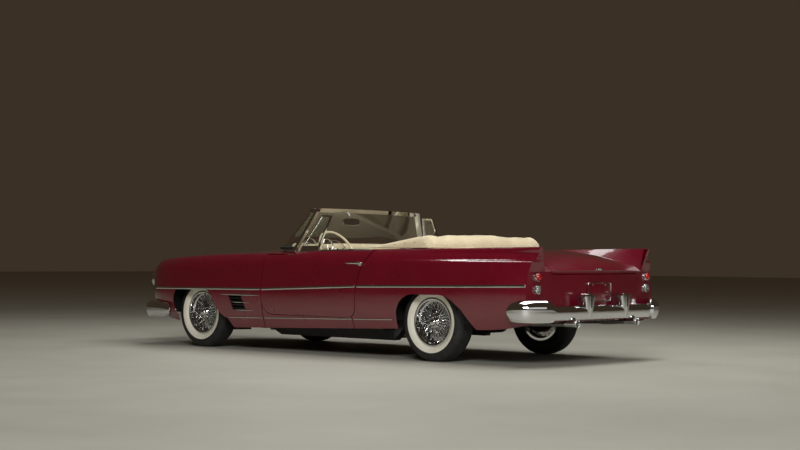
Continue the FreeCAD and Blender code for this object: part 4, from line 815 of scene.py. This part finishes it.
def steeringShapes(spec):
    # ivory rim with finger grips behind, two-blade spokes, chrome boss and horn ring
    a = radians(spec["slope"])
    place = facing(spec["centre"], (0, cos(a), sin(a)))

    def put(shape, mark=0):
        return turned(shape, place) + (mark,)

    def spun(profile, steps, mark=0):
        return put(lathe(profile, (0, 0, 0), (0, 0, 1), steps), mark)

    verts, faces = [], []
    steps, sides = 180, 14
    for k in range(steps):
        t = 2 * pi * k / steps
        grip = 0.9 * mm * cos(spec["grips"] * t)
        out = Vector((cos(t), sin(t), 0))
        for j in range(sides):
            b = 2 * pi * j / sides
            back = max(0.0, -sin(b))
            r = spec["tube"] + grip * back
            verts.append(out * (spec["radius"] + r * cos(b)) + Vector((0, 0, r * sin(b))))
    for k in range(steps):
        here, ahead = k * sides, (k + 1) % steps * sides
        faces += [(here + j, ahead + j, ahead + (j + 1) % sides, here + (j + 1) % sides)
            for j in range(sides)]
    shapes = [put((verts, faces))]
    for turn in (0, 180, 270):
        rings = []
        for k in range(13):
            t = k / 12
            x = (30 + (spec["radius"] / mm - 34) * t) * mm
            wide, thick, drop = (15 - 6 * t) * mm, (6 - 1.5 * t) * mm, (-6 - 10 * sin(pi * t)) * mm
            rings.append([(x, wide * c, drop + thick * s) for c, s in circle(1.0, 12)])
        shapes.append(put(turned(loft(rings), Matrix.Rotation(radians(turn), 4, "Z"))))
    shapes.append(spun([(-40, 0), (-40, 32), (-20, 34), (-4, 40), (4, 39), (7, 34), (7, 0)], 48))
    shapes.append(spun([(5, 33), (9, 31), (14, 22), (16, 10), (16.5, 0)], 40, 1))
    ringPath = [(x, y, 6 * mm) for x, y in circle(spec["ring"], 72)]
    shapes.append(put(sweep(ringPath, circle(3.2 * mm, 8), (0, 0, 1), closed=True), 1))
    for turn in (20, 160, 270):
        inner, outer = 20 * mm, spec["ring"]
        arm = [(inner + (outer - inner) * k / 6, 0, (10 - 4 * k / 6) * mm) for k in range(7)]
        shapes.append(put(turned(sweep(arm, circle(3.4 * mm, 8, 0.6), (0, 0, 1)),
            Matrix.Rotation(radians(turn), 4, "Z")), 1))
    return shapes


addPiece("steering_wheel_rim", "steering_wheel", steeringShapes(steering), [cellulose, chrome], sharp=40,
    replaces=["steering_wheel"])

mirrorSpec = {"wide": 118 * mm, "high": 35 * mm, "squareness": 0.55}


def mirrorShapes(spec):
    low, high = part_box("rear_view_mirror")
    y0 = high[1] - 18 * mm
    z = low[2] + 30 * mm
    back = []
    for grow, out in [(0.55, -14), (0.8, -9), (0.95, -3), (1.0, 3), (0.985, 7), (0.93, 8), (0.9, 6.5)]:
        w, c = spec["wide"] * grow, spec["squareness"]
        h = spec["high"] * (grow if grow > 0.9 else grow * 1.02)
        ring = [(w * copysign(abs(cx) ** c, cx), y0 + (out + 8) * mm, z + h * copysign(abs(cz) ** c, cz))
            for cx, cz in circle(1.0, 40)]
        back.append(ring)
    shell = loft(back[:6]) + (0,)
    pane = [[(p[0] * 0.95, p[1] + 0.6 * mm, z + (p[2] - z) * 0.84) for p in back[5]],
        [(p[0] * 0.2, p[1] + 0.9 * mm, z + (p[2] - z) * 0.2) for p in back[5]]]
    glassFace = loft(pane) + (1,)
    stem = sweep(smoothPath([(0, y0 + 2 * mm, z + 10 * mm), (0, y0 - 6 * mm, z + 55 * mm),
        (0, low[1] + 8 * mm, high[2] - 2 * mm)], 14), circle(4.5 * mm, 10), (0, 1, 0)) + (0,)
    return [shell, glassFace, stem]


addPiece("rear_view_mirror_head", "body", mirrorShapes(mirrorSpec), [satinChrome, mirrorSilver], sharp=40,
    replaces=["rear_view_mirror"])
print("cabin fittings made")


boot = {
    "frontEdge": [(0.0, 0.745), (0.56, 0.686), (0.735, 0.612), (0.77, 0.632)],
    "rearEdge": [(0.0, 1.378), (0.56, 1.348), (0.735, 1.308), (0.77, 1.262)],
    "halfWide": 0.77, "base": 0.9515, "hem": 4 * mm, "across": 220, "deep": 90, "ridge": 0.84,
    "fold": 6 * mm, "snapGap": 110 * mm,
    "creases": [(0.66, 0.80, 2.3, 0.035), (0.55, 0.55, 1.2, 0.03), (0.30, 0.35, 0.5, 0.05),
                (0.02, 0.6, 0.1, 0.05), (-0.33, 0.45, -0.6, 0.04), (-0.60, 0.65, -1.5, 0.035),
                (0.47, 0.15, 0.9, 0.03), (-0.5, 0.2, -0.8, 0.03)]}


def between(pairs, x):
    x = abs(x)
    for (a, fa), (b, fb) in zip(pairs, pairs[1:]):
        if x <= b:
            t = (x - a) / (b - a)
            t = t * t * (3 - 2 * t) if b < 0.7 else t
            return fa + (fb - fa) * t
    return pairs[-1][1]


def bootHeight(spec, x, v):
    # low along the front, rising over the folded frame to a ridge near the back, with side humps
    a = abs(x) / spec["halfWide"]
    ridgeHigh = 0.104 + 0.010 * exp(-((x - 0.05) / 0.2) ** 2) - 0.012 * exp(-((abs(x) - 0.60) / 0.07) ** 2)
    ridgeHigh += 0.004 * exp(-((abs(x) - 0.72) / 0.05) ** 2) - 0.006 * exp(-((x + 0.35) / 0.15) ** 2)
    r = spec["ridge"]
    if v < r:
        t = v / r
        rise = 0.13 + 0.87 * (0.78 * t + 0.22 * t * t * (3 - 2 * t))
        rise *= 1 - exp(-v / 0.018)
    else:
        rise = max(0.0, 1 - ((v - r) / (1 - r)) ** 2.3) ** 0.55
    side = max(0.0, 1 - a ** 26) ** 0.5
    pull = noise.noise(Vector((x * 3.1, v * 2.2, 4.0)))
    crease = 0.0
    for cx, cv, way, wide in spec["creases"]:
        off = (x - cx) + way * (v - cv) * 0.35
        crease += exp(-(off / wide) ** 2) * exp(-((v - cv) / 0.28) ** 2)
    ripple = sin(x * 34 + 5 * v + 4 * pull) * (0.25 + 0.75 * v)
    soft = min(1.0, v / 0.1) * min(1.0, (1 - v) / 0.05)
    folds = spec["fold"] * (pull - 0.75 * crease) + 0.9 * mm * ripple
    return side * rise * ridgeHigh + side * soft * folds


def bootShape(spec):
    nx, ny = spec["across"], spec["deep"]
    xs = [spec["halfWide"] * copysign(1 - (1 - abs(s)) ** 1.5, s)
        for s in [-1 + 2 * i / nx for i in range(nx + 1)]]
    verts = []
    for x in xs:
        yf, yr = between(spec["frontEdge"], x), between(spec["rearEdge"], x)
        for j in range(ny + 1):
            v = 0.5 - 0.5 * cos(pi * j / ny)
            verts.append((x, yf + (yr - yf) * v, spec["base"] + spec["hem"] + bootHeight(spec, x, v)))
    faces = gridFaces(nx, ny)
    rim = gridRim(nx, ny)
    base = len(verts)
    verts += [(verts[k][0], verts[k][1], verts[k][2] - spec["hem"]) for k in rim]
    count = len(rim)
    faces += [(rim[k], base + k, base + (k + 1) % count, rim[(k + 1) % count]) for k in range(count)]
    verts.append((0, 1.05, spec["base"]))
    faces += [(base + k, len(verts) - 1, base + (k + 1) % count) for k in range(count)]
    return (verts, faces), [Vector(verts[k]) for k in rim]


cover, hem = bootShape(boot)
coverPiece = addPiece("boot_cover_cloth", "body", [cover], [canvas], sharp=60, replaces=["boot_cover"])
hemPath = [hem[i] + Vector((0, 0, -1.5 * mm)) for i in range(0, len(hem), 2)]
addPiece("boot_cover_piping", "body", [sweep(hemPath, circle(3.5 * mm, 8), (0, 0, 1), closed=True)],
    [canvas], sharp=60)


def snapShapes(spec, path):
    # press studs round the hem, evenly spaced along it, set in from the piping
    shapes, gone = [], 0.0
    middle = Vector((0, 1.02, 0))
    for a, b in zip(path, path[1:]):
        gone += (b - a).length
        if gone >= spec["snapGap"]:
            gone = 0.0
            at = Vector((b.x * 0.993, b.y + (middle.y - b.y) * 0.012, 0))
            yf, yr = between(spec["frontEdge"], at.x), between(spec["rearEdge"], at.x)
            v = (at.y - yf) / (yr - yf)
            if not 0.002 < v < 0.998:
                continue
            at.z = spec["base"] + spec["hem"] + bootHeight(spec, at.x, v)
            dx = bootHeight(spec, at.x * 0.99, v) - bootHeight(spec, at.x, v)
            dv = bootHeight(spec, at.x, min(v + 0.01, 0.995)) - bootHeight(spec, at.x, v)
            normal = Vector((dx / (0.01 * max(abs(at.x), 0.05)) * copysign(1, at.x),
                -dv / (0.01 * (yr - yf)), 1)).normalized()
            shapes.append(lathe([(-2, 0), (-2, 5), (1, 5), (2, 3.8), (2.4, 0)], at, along=normal, steps=16))
    return shapes


addBright("boot_cover_snaps", "body", snapShapes(boot, hem))


def cushion(place, size, crown, pleats, depth, pull=0.02, cells=(120, 60), margin=0.13):
    # pillow about the origin, X across, Y along: crowned, sewn into channels, sides drawn in
    halfX, halfY = size[0] / 2, size[1] / 2
    nx, ny = cells
    top, low = [], []
    for i in range(nx + 1):
        for j in range(ny + 1):
            u = -cos(pi * i / nx)
            v = -cos(pi * j / ny)
            edge = max(0.0, 1 - abs(u) ** 9) ** 0.42 * max(0.0, 1 - abs(v) ** 7) ** 0.42
            x = u * halfX * (1 - pull * (1 - v * v))
            y = v * halfY * (1 - pull * (1 - u * u))
            dome = crown * (1 - 0.5 * u * u) * (1 - 0.5 * v * v)
            inside = min(1.0, max(0.0, (1 - margin - abs(u)) / 0.03))
            inside *= min(1.0, max(0.0, (1 - margin - abs(v)) / 0.04))
            channel = abs(sin(pi * (u / (1 - margin) + 1) / 2 * pleats)) ** 0.45
            endSeam = exp(-((abs(u) - 1 + margin) / 0.016) ** 2) * (abs(v) < 1 - margin + 0.02)
            sideSeam = exp(-((abs(v) - 1 + margin) / 0.02) ** 2) * (abs(u) < 1 - margin + 0.02)
            wave = 0.8 * mm * noise.noise(Vector((x * 12, y * 12, size[0])))
            z = edge * (size[2] / 2 + dome + wave - depth * inside * (1 - channel)
                - depth * 0.9 * min(endSeam + sideSeam, 1.0))
            top.append((x, y, z))
            low.append((x, y, -size[2] / 2 * edge ** 0.8))
    base = len(top)
    sheet = gridFaces(nx, ny)
    faces = [f for face in sheet for f in (face, tuple(base + k for k in reversed(face)))]
    rim = gridRim(nx, ny)
    welt = sweep([top[k] for k in rim[::2]], circle(4 * mm, 8), (0, 0, 1), closed=True)
    return turned((top + low, faces), place), turned(welt, place)


def seatPlace(at, tilt):
    return Matrix.Translation(at) @ Matrix.Rotation(radians(tilt), 4, "X")


frontSeat = {"across": [-0.365, 0.365], "cushion": (0.60, 0.53, 0.16), "cushionAt": (-0.075, 0.44),
    "cushionTilt": 5, "back": (0.60, 0.40, 0.10), "backAt": (0.262, 0.655), "backTilt": 78.5, "pleats": 8,
    "sew": 9 * mm}
rearSeat = {"cushion": (1.15, 0.205, 0.16), "cushionAt": (0.515, 0.45), "cushionTilt": 8,
    "back": (1.15, 0.34, 0.085), "backAt": (0.672, 0.672), "backTilt": 80, "pleats": 16, "sew": 8 * mm}
pads, welts = [], []
for x in frontSeat["across"]:
    for key in ("cushion", "back"):
        y, z = frontSeat[key + "At"]
        pad, welt = cushion(seatPlace((x, y, z), frontSeat[key + "Tilt"]), frontSeat[key],
            20 * mm if key == "cushion" else 14 * mm, frontSeat["pleats"], frontSeat["sew"])
        pads.append(pad)
        welts.append(welt)
    pads.append(roundedBlock((x - 0.285, -0.30, 0.262), (x + 0.285, 0.205, 0.40), 18 * mm))
frontPiece = addPiece("front_seat_cushions", "body", pads, [leather], sharp=60, replaces=["front_seats"])
addPiece("front_seat_piping", "body", welts, [maroonLeather], sharp=60)
pads, welts = [], []
for key in ("cushion", "back"):
    y, z = rearSeat[key + "At"]
    pad, welt = cushion(seatPlace((0, y, z), rearSeat[key + "Tilt"]), rearSeat[key], 14 * mm,
        rearSeat["pleats"], rearSeat["sew"], pull=0.01, cells=(200, 50))
    pads.append(pad)
    welts.append(welt)
pads.append(roundedBlock((-0.56, 0.43, 0.365), (0.56, 0.63, 0.41), 18 * mm))
rearPiece = addPiece("rear_seat_cushions", "body", pads, [leather], sharp=60, replaces=["rear_seat"])
addPiece("rear_seat_piping", "body", welts, [maroonLeather], sharp=60)
print("boot cover and seats made")


def addLamps(title, at, way, parts):
    # each part's profile is turned about both lamps' axes; the first, a ring, replaces the plain lamps
    for name, finish, slot, steps, profile, node in parts:
        shapes = [lathe(profile, (side * at[0], at[1], at[2]), way, steps, closed=bool(node))
            for side in (1, -1)]
        addPiece(title + name, "body", shapes, [finish], sharp=40, replaces=[node] if node else ())


headlamp = {"at": (0.575, -2.400, 0.640), "parts": [
    ("rims", chrome, "chrome", 72,
     [(22, 96), (84, 96.5), (98, 95), (108, 91), (113, 86), (110, 81), (101, 79), (92, 80), (22, 91)],
     "headlamps"),
    ("lenses", clearLens, "clear_lens", 72,
     [(97, 80), (106, 62), (112, 40), (114.5, 18), (115, 0), (110, 0), (109, 18), (106, 40), (100, 62),
      (93, 80)], None),
    ("bowls", mirrorSilver, "chrome", 72,
     [(92, 79.5), (74, 70), (52, 52), (38, 32), (33, 14), (32, 0)], None),
    ("buckets", chassis, "chassis_black", 72,
     [(-22, 0), (-22, 60), (0, 82), (22, 93), (60, 93), (60, 90), (24, 90), (0, 78), (-16, 58), (-18, 0)],
     None)]}
rearBezel = [(-18, 36), (26, 37.5), (36, 37), (41, 35), (42, 32.5), (38, 31.5), (-18, 31.5)]
rearBowl = ("lamp_bowls", mirrorSilver, "chrome", 40, [(-16, 0), (-16, 31), (14, 31), (0, 18), (-4, 0)],
    None)
rearLamps = {
    "tail": {"at": (0.776, 2.395, 0.720), "grow": 1.0, "lens": redLens, "slot": "red_lens",
             "bulge": [(30, 31), (44, 29.5), (54, 24), (60, 15), (62.5, 6), (63, 0), (20, 0), (20, 31)]},
    "reverse": {"at": (0.774, 2.395, 0.621), "grow": 1.06, "lens": clearLens, "slot": "clear_lens",
                "bulge": [(22, 32), (34, 30), (46, 24), (55, 14), (59, 5), (59.5, 0), (16, 0), (16, 32)]}}
addLamps("headlamp_", headlamp["at"], (0, -1, 0), headlamp["parts"])
for title, spec in rearLamps.items():
    bezel = [(d, r * spec["grow"]) for d, r in rearBezel]
    addLamps(title + "_", spec["at"], (0, 1, 0), [("lamp_bezels", chrome, "chrome", 56, bezel,
        title + "_lamps"), ("lamp_lenses", spec["lens"], spec["slot"], 48, spec["bulge"], None), rearBowl])

plate = {"halfWide": 163 * mm, "halfHigh": 75 * mm, "radius": 12 * mm, "y": 2.478}


def plateShapes(spec):
    low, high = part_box("plate_frame")
    z = (low[2] + high[2]) / 2
    path = []
    w, h, r = spec["halfWide"], spec["halfHigh"], spec["radius"]
    for cx, cz, start in ((w - r, h - r, 0), (-w + r, h - r, 90), (-w + r, -h + r, 180),
            (w - r, -h + r, 270)):
        for k in range(7):
            a = radians(start + 15 * k)
            path.append((cx + r * cos(a), spec["y"], z + cz + r * sin(a)))
    border = sweep(path, [(-3.5 * mm, -3.5 * mm), (-3.5 * mm, 2 * mm), (-1.5 * mm, 4.5 * mm),
        (1.5 * mm, 4.5 * mm), (3.5 * mm, 2 * mm), (3.5 * mm, -3.5 * mm)], (0, 1, 0), closed=True)
    back = roundedBlock((-w + 1 * mm, low[1] + 1 * mm, z - h + 1 * mm),
        (w - 1 * mm, low[1] + 8 * mm, z + h - 1 * mm), 2 * mm)
    studs = [lathe([(-2, 0), (-2, 6), (2, 6), (4, 4), (4.5, 0)], (sx * 88.9 * mm, low[1] + 8 * mm,
        z + sz * 60.3 * mm), along=(0, 1, 0), steps=20) for sx in (1, -1) for sz in (1, -1)]
    return border, back, studs


border, back, studs = plateShapes(plate)
addBright("plate_frame_border", "body", [border] + studs, replaces=["plate_frame"])
addPiece("plate_backing", "body", [back], [paint], sharp=30)

guard = {
    "x": 0.258, "square": 0.55,
    "rows": [(0.388, 30, 2534, 2569), (0.44, 42, 2534, 2574), (0.50, 56, 2532, 2578), (0.545, 66, 2528, 2580),
             (0.568, 70, 2520, 2580)],
    "pad": [(-76, 7), (-70, 12), (-45, 15), (0, 16), (45, 16), (68, 13), (76, 6)],
    "padHalf": 74, "padY": 2529, "padZ": 0.569}


def guardShapes(spec, side):
    # a broad tapering face over one of the bumper's uprights, and a wide pad across its top
    face = []
    for z, half, y0, y1 in spec["rows"]:
        ring = []
        for k in range(16):
            a = pi * k / 15
            across = copysign(abs(cos(a)) ** spec["square"], cos(a))
            ring.append((side * spec["x"] + half * mm * across,
                (y0 + (y1 - y0) * max(0.0, sin(a)) ** 0.35) * mm, z))
        face.append(ring)
    pad = [[(side * spec["x"] + spec["padHalf"] * mm * c, (spec["padY"] + dx * 0.67) * mm,
             spec["padZ"] + tall * mm * 0.85 * s - 0.002) for c, s in circle(1.0, 20)]
           for dx, tall in spec["pad"]]
    return [loft(face), loft(pad)]


addBright("bumper_guards", "body", guardShapes(guard, 1) + guardShapes(guard, -1))

# the trunk's lock: an oval escutcheon with a pressed button
lock = {"z": 0.781, "rings": [(2.457, 27, 11.5), (2.484, 27, 11.5), (2.489, 25, 9.5), (2.4895, 12, 7.5),
    (2.4955, 10.5, 6.5), (2.498, 6, 3.5)]}
lockRings = [[(wide * mm * c, y, lock["z"] + tall * mm * s) for c, s in circle(1.0, 32)]
    for y, wide, tall in lock["rings"]]
addBright("trunk_lock", "trunk_lid", [loft(lockRings)], replaces=["trunk_handle"])

exhaustTip = {"x": 0.427, "y": 2.447, "z": 0.345,
    "profile": [(0, 25), (0, 28), (90, 29), (118, 30), (120, 28.5), (118, 27), (20, 25)]}
tips = [lathe(exhaustTip["profile"], (side * exhaustTip["x"], exhaustTip["y"], exhaustTip["z"]), (0, 1, 0),
    48, True) for side in (1, -1)]
addPiece("exhaust_tips", "body", tips, [chrome], sharp=40)

# windshield gasket along the foot of the glass, and chrome along the tops of the doors
gasket = {"radius": 9 * mm, "squash": 1.3, "middle": [(0, -0.772, 0.966)], "half": [(0.862, -0.225, 0.944),
    (0.838, -0.36, 0.946), (0.775, -0.50, 0.949), (0.64, -0.635, 0.953), (0.40, -0.725, 0.960)]}
gasketLine = smoothPath(gasket["half"] + gasket["middle"] + [(-x, y, z)
    for x, y, z in reversed(gasket["half"])], 96)
addPiece("windshield_gasket", "body",
    [sweep(gasketLine, circle(gasket["radius"], 10, gasket["squash"]), (0, 0, 1))], [seal], sharp=50)


topTrim = {"x": 0.862, "from": 0.075, "to": 0.70, "high": 12, "proud": 9, "points": 41}


def topStrip(skin, side, spec):
    path, ups = [], []
    for k in range(spec["points"]):
        y = spec["from"] + (spec["to"] - spec["from"]) * k / (spec["points"] - 1)
        at, normal = skin.ray_cast(Vector((side * spec["x"], y, 1.15)), Vector((0, 0, -1)))[:2]
        if at is not None and at.z > 0.88:
            path.append(at)
            ups.append(normal if normal.z > 0 else -normal)
    return taperedSweep(path, softBar(spec["high"], spec["proud"]), ups, (0.7, 0.9))


for hand, side in hands:
    addBright("door_top_strip_" + hand, "door_" + hand, [topStrip(skinOf("door_" + hand), side, topTrim)])

# carpet over the floor, mats over the tunnel, and a trimmed card inside each door
carpetPads = [roundedBlock((s * 0.45 - 0.285, -0.585, 0.2505), (s * 0.45 + 0.285, 0.64, 0.262), 4 * mm)
    for s in (1, -1)]
carpetPads.append(roundedBlock((-0.15, -0.585, 0.352), (0.15, 0.64, 0.368), 5 * mm))
carpetPads += [roundedBlock((s * 0.150 - 0.008, -0.585, 0.262), (s * 0.150 + 0.008, 0.64, 0.362), 4 * mm)
    for s in (1, -1)]
carpetPads.append(roundedBlock((-0.735, -0.600, 0.262), (0.735, -0.590, 0.66), 4 * mm))
addPiece("cabin_carpet", "body", carpetPads, [carpet], sharp=50)
doorCard = {"from": -0.30, "to": 0.60, "low": 0.42, "high": 0.895, "x": 0.7995, "thick": 0.012, "pleats": 12,
    "cranks": [(-0.14, 0.74, 0.35), (-0.14, 0.60, 1.1)]}
for hand, side in hands:
    middleY, middleZ = (doorCard["from"] + doorCard["to"]) / 2, (doorCard["low"] + doorCard["high"]) / 2
    place = Matrix(((0, 0, -side, side * doorCard["x"]), (1, 0, 0, middleY), (0, 1, 0, middleZ),
        (0, 0, 0, 1)))
    size = doorCard["to"] - doorCard["from"], doorCard["high"] - doorCard["low"], doorCard["thick"]
    card = cushion(place, size, 2 * mm, doorCard["pleats"], 3 * mm, pull=0.0, cells=(140, 40),
        margin=0.16)[0]
    cardPiece = addPiece("door_card_" + hand, "door_" + hand, [card], [leather], sharp=60)
    rest = roundedBlock((side * 0.765 - 0.028, 0.05, 0.66), (side * 0.765 + 0.028, 0.40, 0.705), 16 * mm,
        cuts=5)
    restPiece = addPiece("door_armrest_" + hand, "door_" + hand, [rest], [maroonLeather], sharp=60)
    fittings = [lathe([(-2, 0), (-2, 20), (4, 18), (8, 8), (14, 7), (16, 0)], (side * 0.79, y, z),
        (-side, 0, 0), 28) for y, z, lean in doorCard["cranks"]]
    for y, z, lean in doorCard["cranks"]:
        crank = [(side * (0.776 - 0.004 * k), y + 0.016 * k * cos(lean), z + 0.016 * k * sin(lean))
            for k in range(7)]
        fittings.append(sweep(crank, circle(4.5 * mm, 8, 0.6), (side, 0, 0)))
        fittings.append(lathe([(-8, 0), (-8, 6), (10, 8), (20, 7), (22, 0)], crank[-1], (-side, 0, 0), 20))
    addBright("door_cranks_" + hand, "door_" + hand, fittings)


# the fin stands on a ledge that grows from nothing behind the door to its full depth above the tail lamp
scallop = {"from": 0.78, "full": 2.15, "foot": 0.834, "head": 0.860, "deep": 34 * mm, "fadeFrom": 0.900,
    "top": 0.952, "wallFrom": 0.765, "wallTo": 0.80, "rows": 21, "rowStep": 6 * mm, "cols": 24,
    "colStep": 70 * mm}


def ramp(low, high, value):
    t = min(1.0, max(0.0, (value - low) / (high - low)))
    return t * t * (3 - 2 * t)


def carveScallop(made, spec):
    rows = [spec["foot"] - 0.006 + k * spec["rowStep"] for k in range(spec["rows"])]
    cols = [spec["from"] + k * spec["colStep"] for k in range(spec["cols"])]
    for at, way in [((0, 0, z), (0, 0, 1)) for z in rows] + [((0, y, 0), (0, 1, 0)) for y in cols]:
        high = [f for f in made.faces if max(v.co.z for v in f.verts) > spec["foot"]]
        faces = [f for f in high if max(abs(v.co.x) for v in f.verts) > spec["wallFrom"]]
        edges = {e for f in faces for e in f.edges}
        verts = {v for f in faces for v in f.verts}
        bmesh.ops.bisect_plane(made, geom=list(verts) + list(edges) + faces, plane_co=at, plane_no=way)
    for v in made.verts:
        grow = ramp(spec["from"], spec["full"], v.co.y) * ramp(spec["wallFrom"], spec["wallTo"], abs(v.co.x))
        step = ramp(spec["foot"], spec["head"], v.co.z) * (1 - ramp(spec["fadeFrom"], spec["top"], v.co.z))
        v.co.x -= copysign(spec["deep"] * grow * step, v.co.x)
    bmesh.ops.triangulate(made, faces=[f for f in made.faces if len(f.verts) > 3])


def smoothPanel(name, mat):
    # a panel's faces merged, and shaded smoothly between its real edges
    mesh = nodes[name].data.copy()
    for key in ("custom_normal", "sharp_face", "sharp_edge"):
        if key in mesh.attributes:
            mesh.attributes.remove(mesh.attributes[key])
    made = bmesh.new()
    made.from_mesh(mesh)
    bmesh.ops.remove_doubles(made, verts=made.verts, dist=0.1 * mm)
    if name.startswith("rear_quarter"):
        carveScallop(made, scallop)
    made.to_mesh(mesh)
    made.free()
    mesh.materials.clear()
    mesh.materials.append(mat)
    smoothShade(mesh, 28)
    holder = bpy.data.objects.new(name + "_holder", mesh)
    even = holder.modifiers.new("even", "WEIGHTED_NORMAL")
    even.mode, even.keep_sharp, even.weight = "FACE_AREA_WITH_ANGLE", True, 50
    done = takeMesh(holder)
    done.name = name + "_skin"
    placePiece(name + "_skin", bodyOf[name], done, [name])


for name in ("front_fender_left", "front_fender_right", "rear_quarter_left", "rear_quarter_right",
        "door_left", "door_right", "hood", "trunk_lid", "cowl_panel", "deck_panel", "nose_panel",
        "tail_panel"):
    smoothPanel(name, paint)
print("lamps, trim and panels made")


stage = {
    "floorSize": 60.0, "floorDark": "#B5B3A6", "floorPale": "#BEBCAF",
    "backdrop": "#3A3025", "backdropStrength": 1.0,
    "lamps": [("overhead", (0.0, 2.7, 6.2), (6.5, 3.0), 290), ("ridge", (-2.4, -3.5, 6.2), (1.8, 4.2), 95),
              ("key", (14.0, 12.5, 8.0), (6.0, 3.0), 1650), ("card", (4.0, 14.5, 4.3), (16.0, 4.0), 120)],
    "cameraAt": (10.661, 9.868, 0.865), "cameraLook": (-0.74253, -0.66948, 0.02104), "cameraRoll": 0.007,
    "lens": 70.1}


def makeFloor(spec):
    mesh = bpy.data.meshes.new("floor")
    s = spec["floorSize"]
    mesh.from_pydata([(-s, -s, 0), (s, -s, 0), (s, s, 0), (-s, s, 0)], [], [(0, 1, 2, 3)])
    floor = bpy.data.objects.new("floor", mesh)
    scene.collection.objects.link(floor)
    # trowelled concrete, sealed: broad clouds, a dull sheen
    mesh.materials.append(twoTone("sealedConcrete", spec["floorDark"], spec["floorPale"], 1.4, (0.52, 0.64),
        0.5, IOR=1.45)[0])


def makeLights(spec):
    world = bpy.data.worlds.new("studio")
    scene.world = world
    world.use_nodes = True
    back = world.node_tree.nodes["Background"]
    back.inputs["Color"].default_value = linear(spec["backdrop"])
    back.inputs["Strength"].default_value = spec["backdropStrength"]
    for name, at, size, power in spec["lamps"]:
        lamp = bpy.data.lights.new(name, "AREA")
        lamp.shape = "RECTANGLE"
        lamp.size, lamp.size_y = size
        lamp.energy = power
        item = bpy.data.objects.new(name, lamp)
        item.location = at
        item.rotation_mode = "QUATERNION"
        item.rotation_quaternion = (Vector((0, 0, 0.6)) - Vector(at)).to_track_quat("-Z", "Y")
        item.visible_camera = False
        scene.collection.objects.link(item)


def makeCamera(spec):
    cam = bpy.data.cameras.new("camera")
    cam.lens = spec["lens"]
    cam.sensor_width = 36.0
    cam.clip_end = 200
    item = bpy.data.objects.new("camera", cam)
    look = Vector(spec["cameraLook"]).normalized()
    right = look.cross(Vector((0, 0, 1))).normalized()
    up = right.cross(look)
    across = right * cos(spec["cameraRoll"]) + up * sin(spec["cameraRoll"])
    item.matrix_world = Matrix((across, across.cross(look), -look)).transposed().to_4x4()
    item.location = spec["cameraAt"]
    scene.collection.objects.link(item)
    scene.camera = item


makeFloor(stage)
makeLights(stage)
makeCamera(stage)
scene.view_settings.view_transform = "Standard"
print("stage ready")
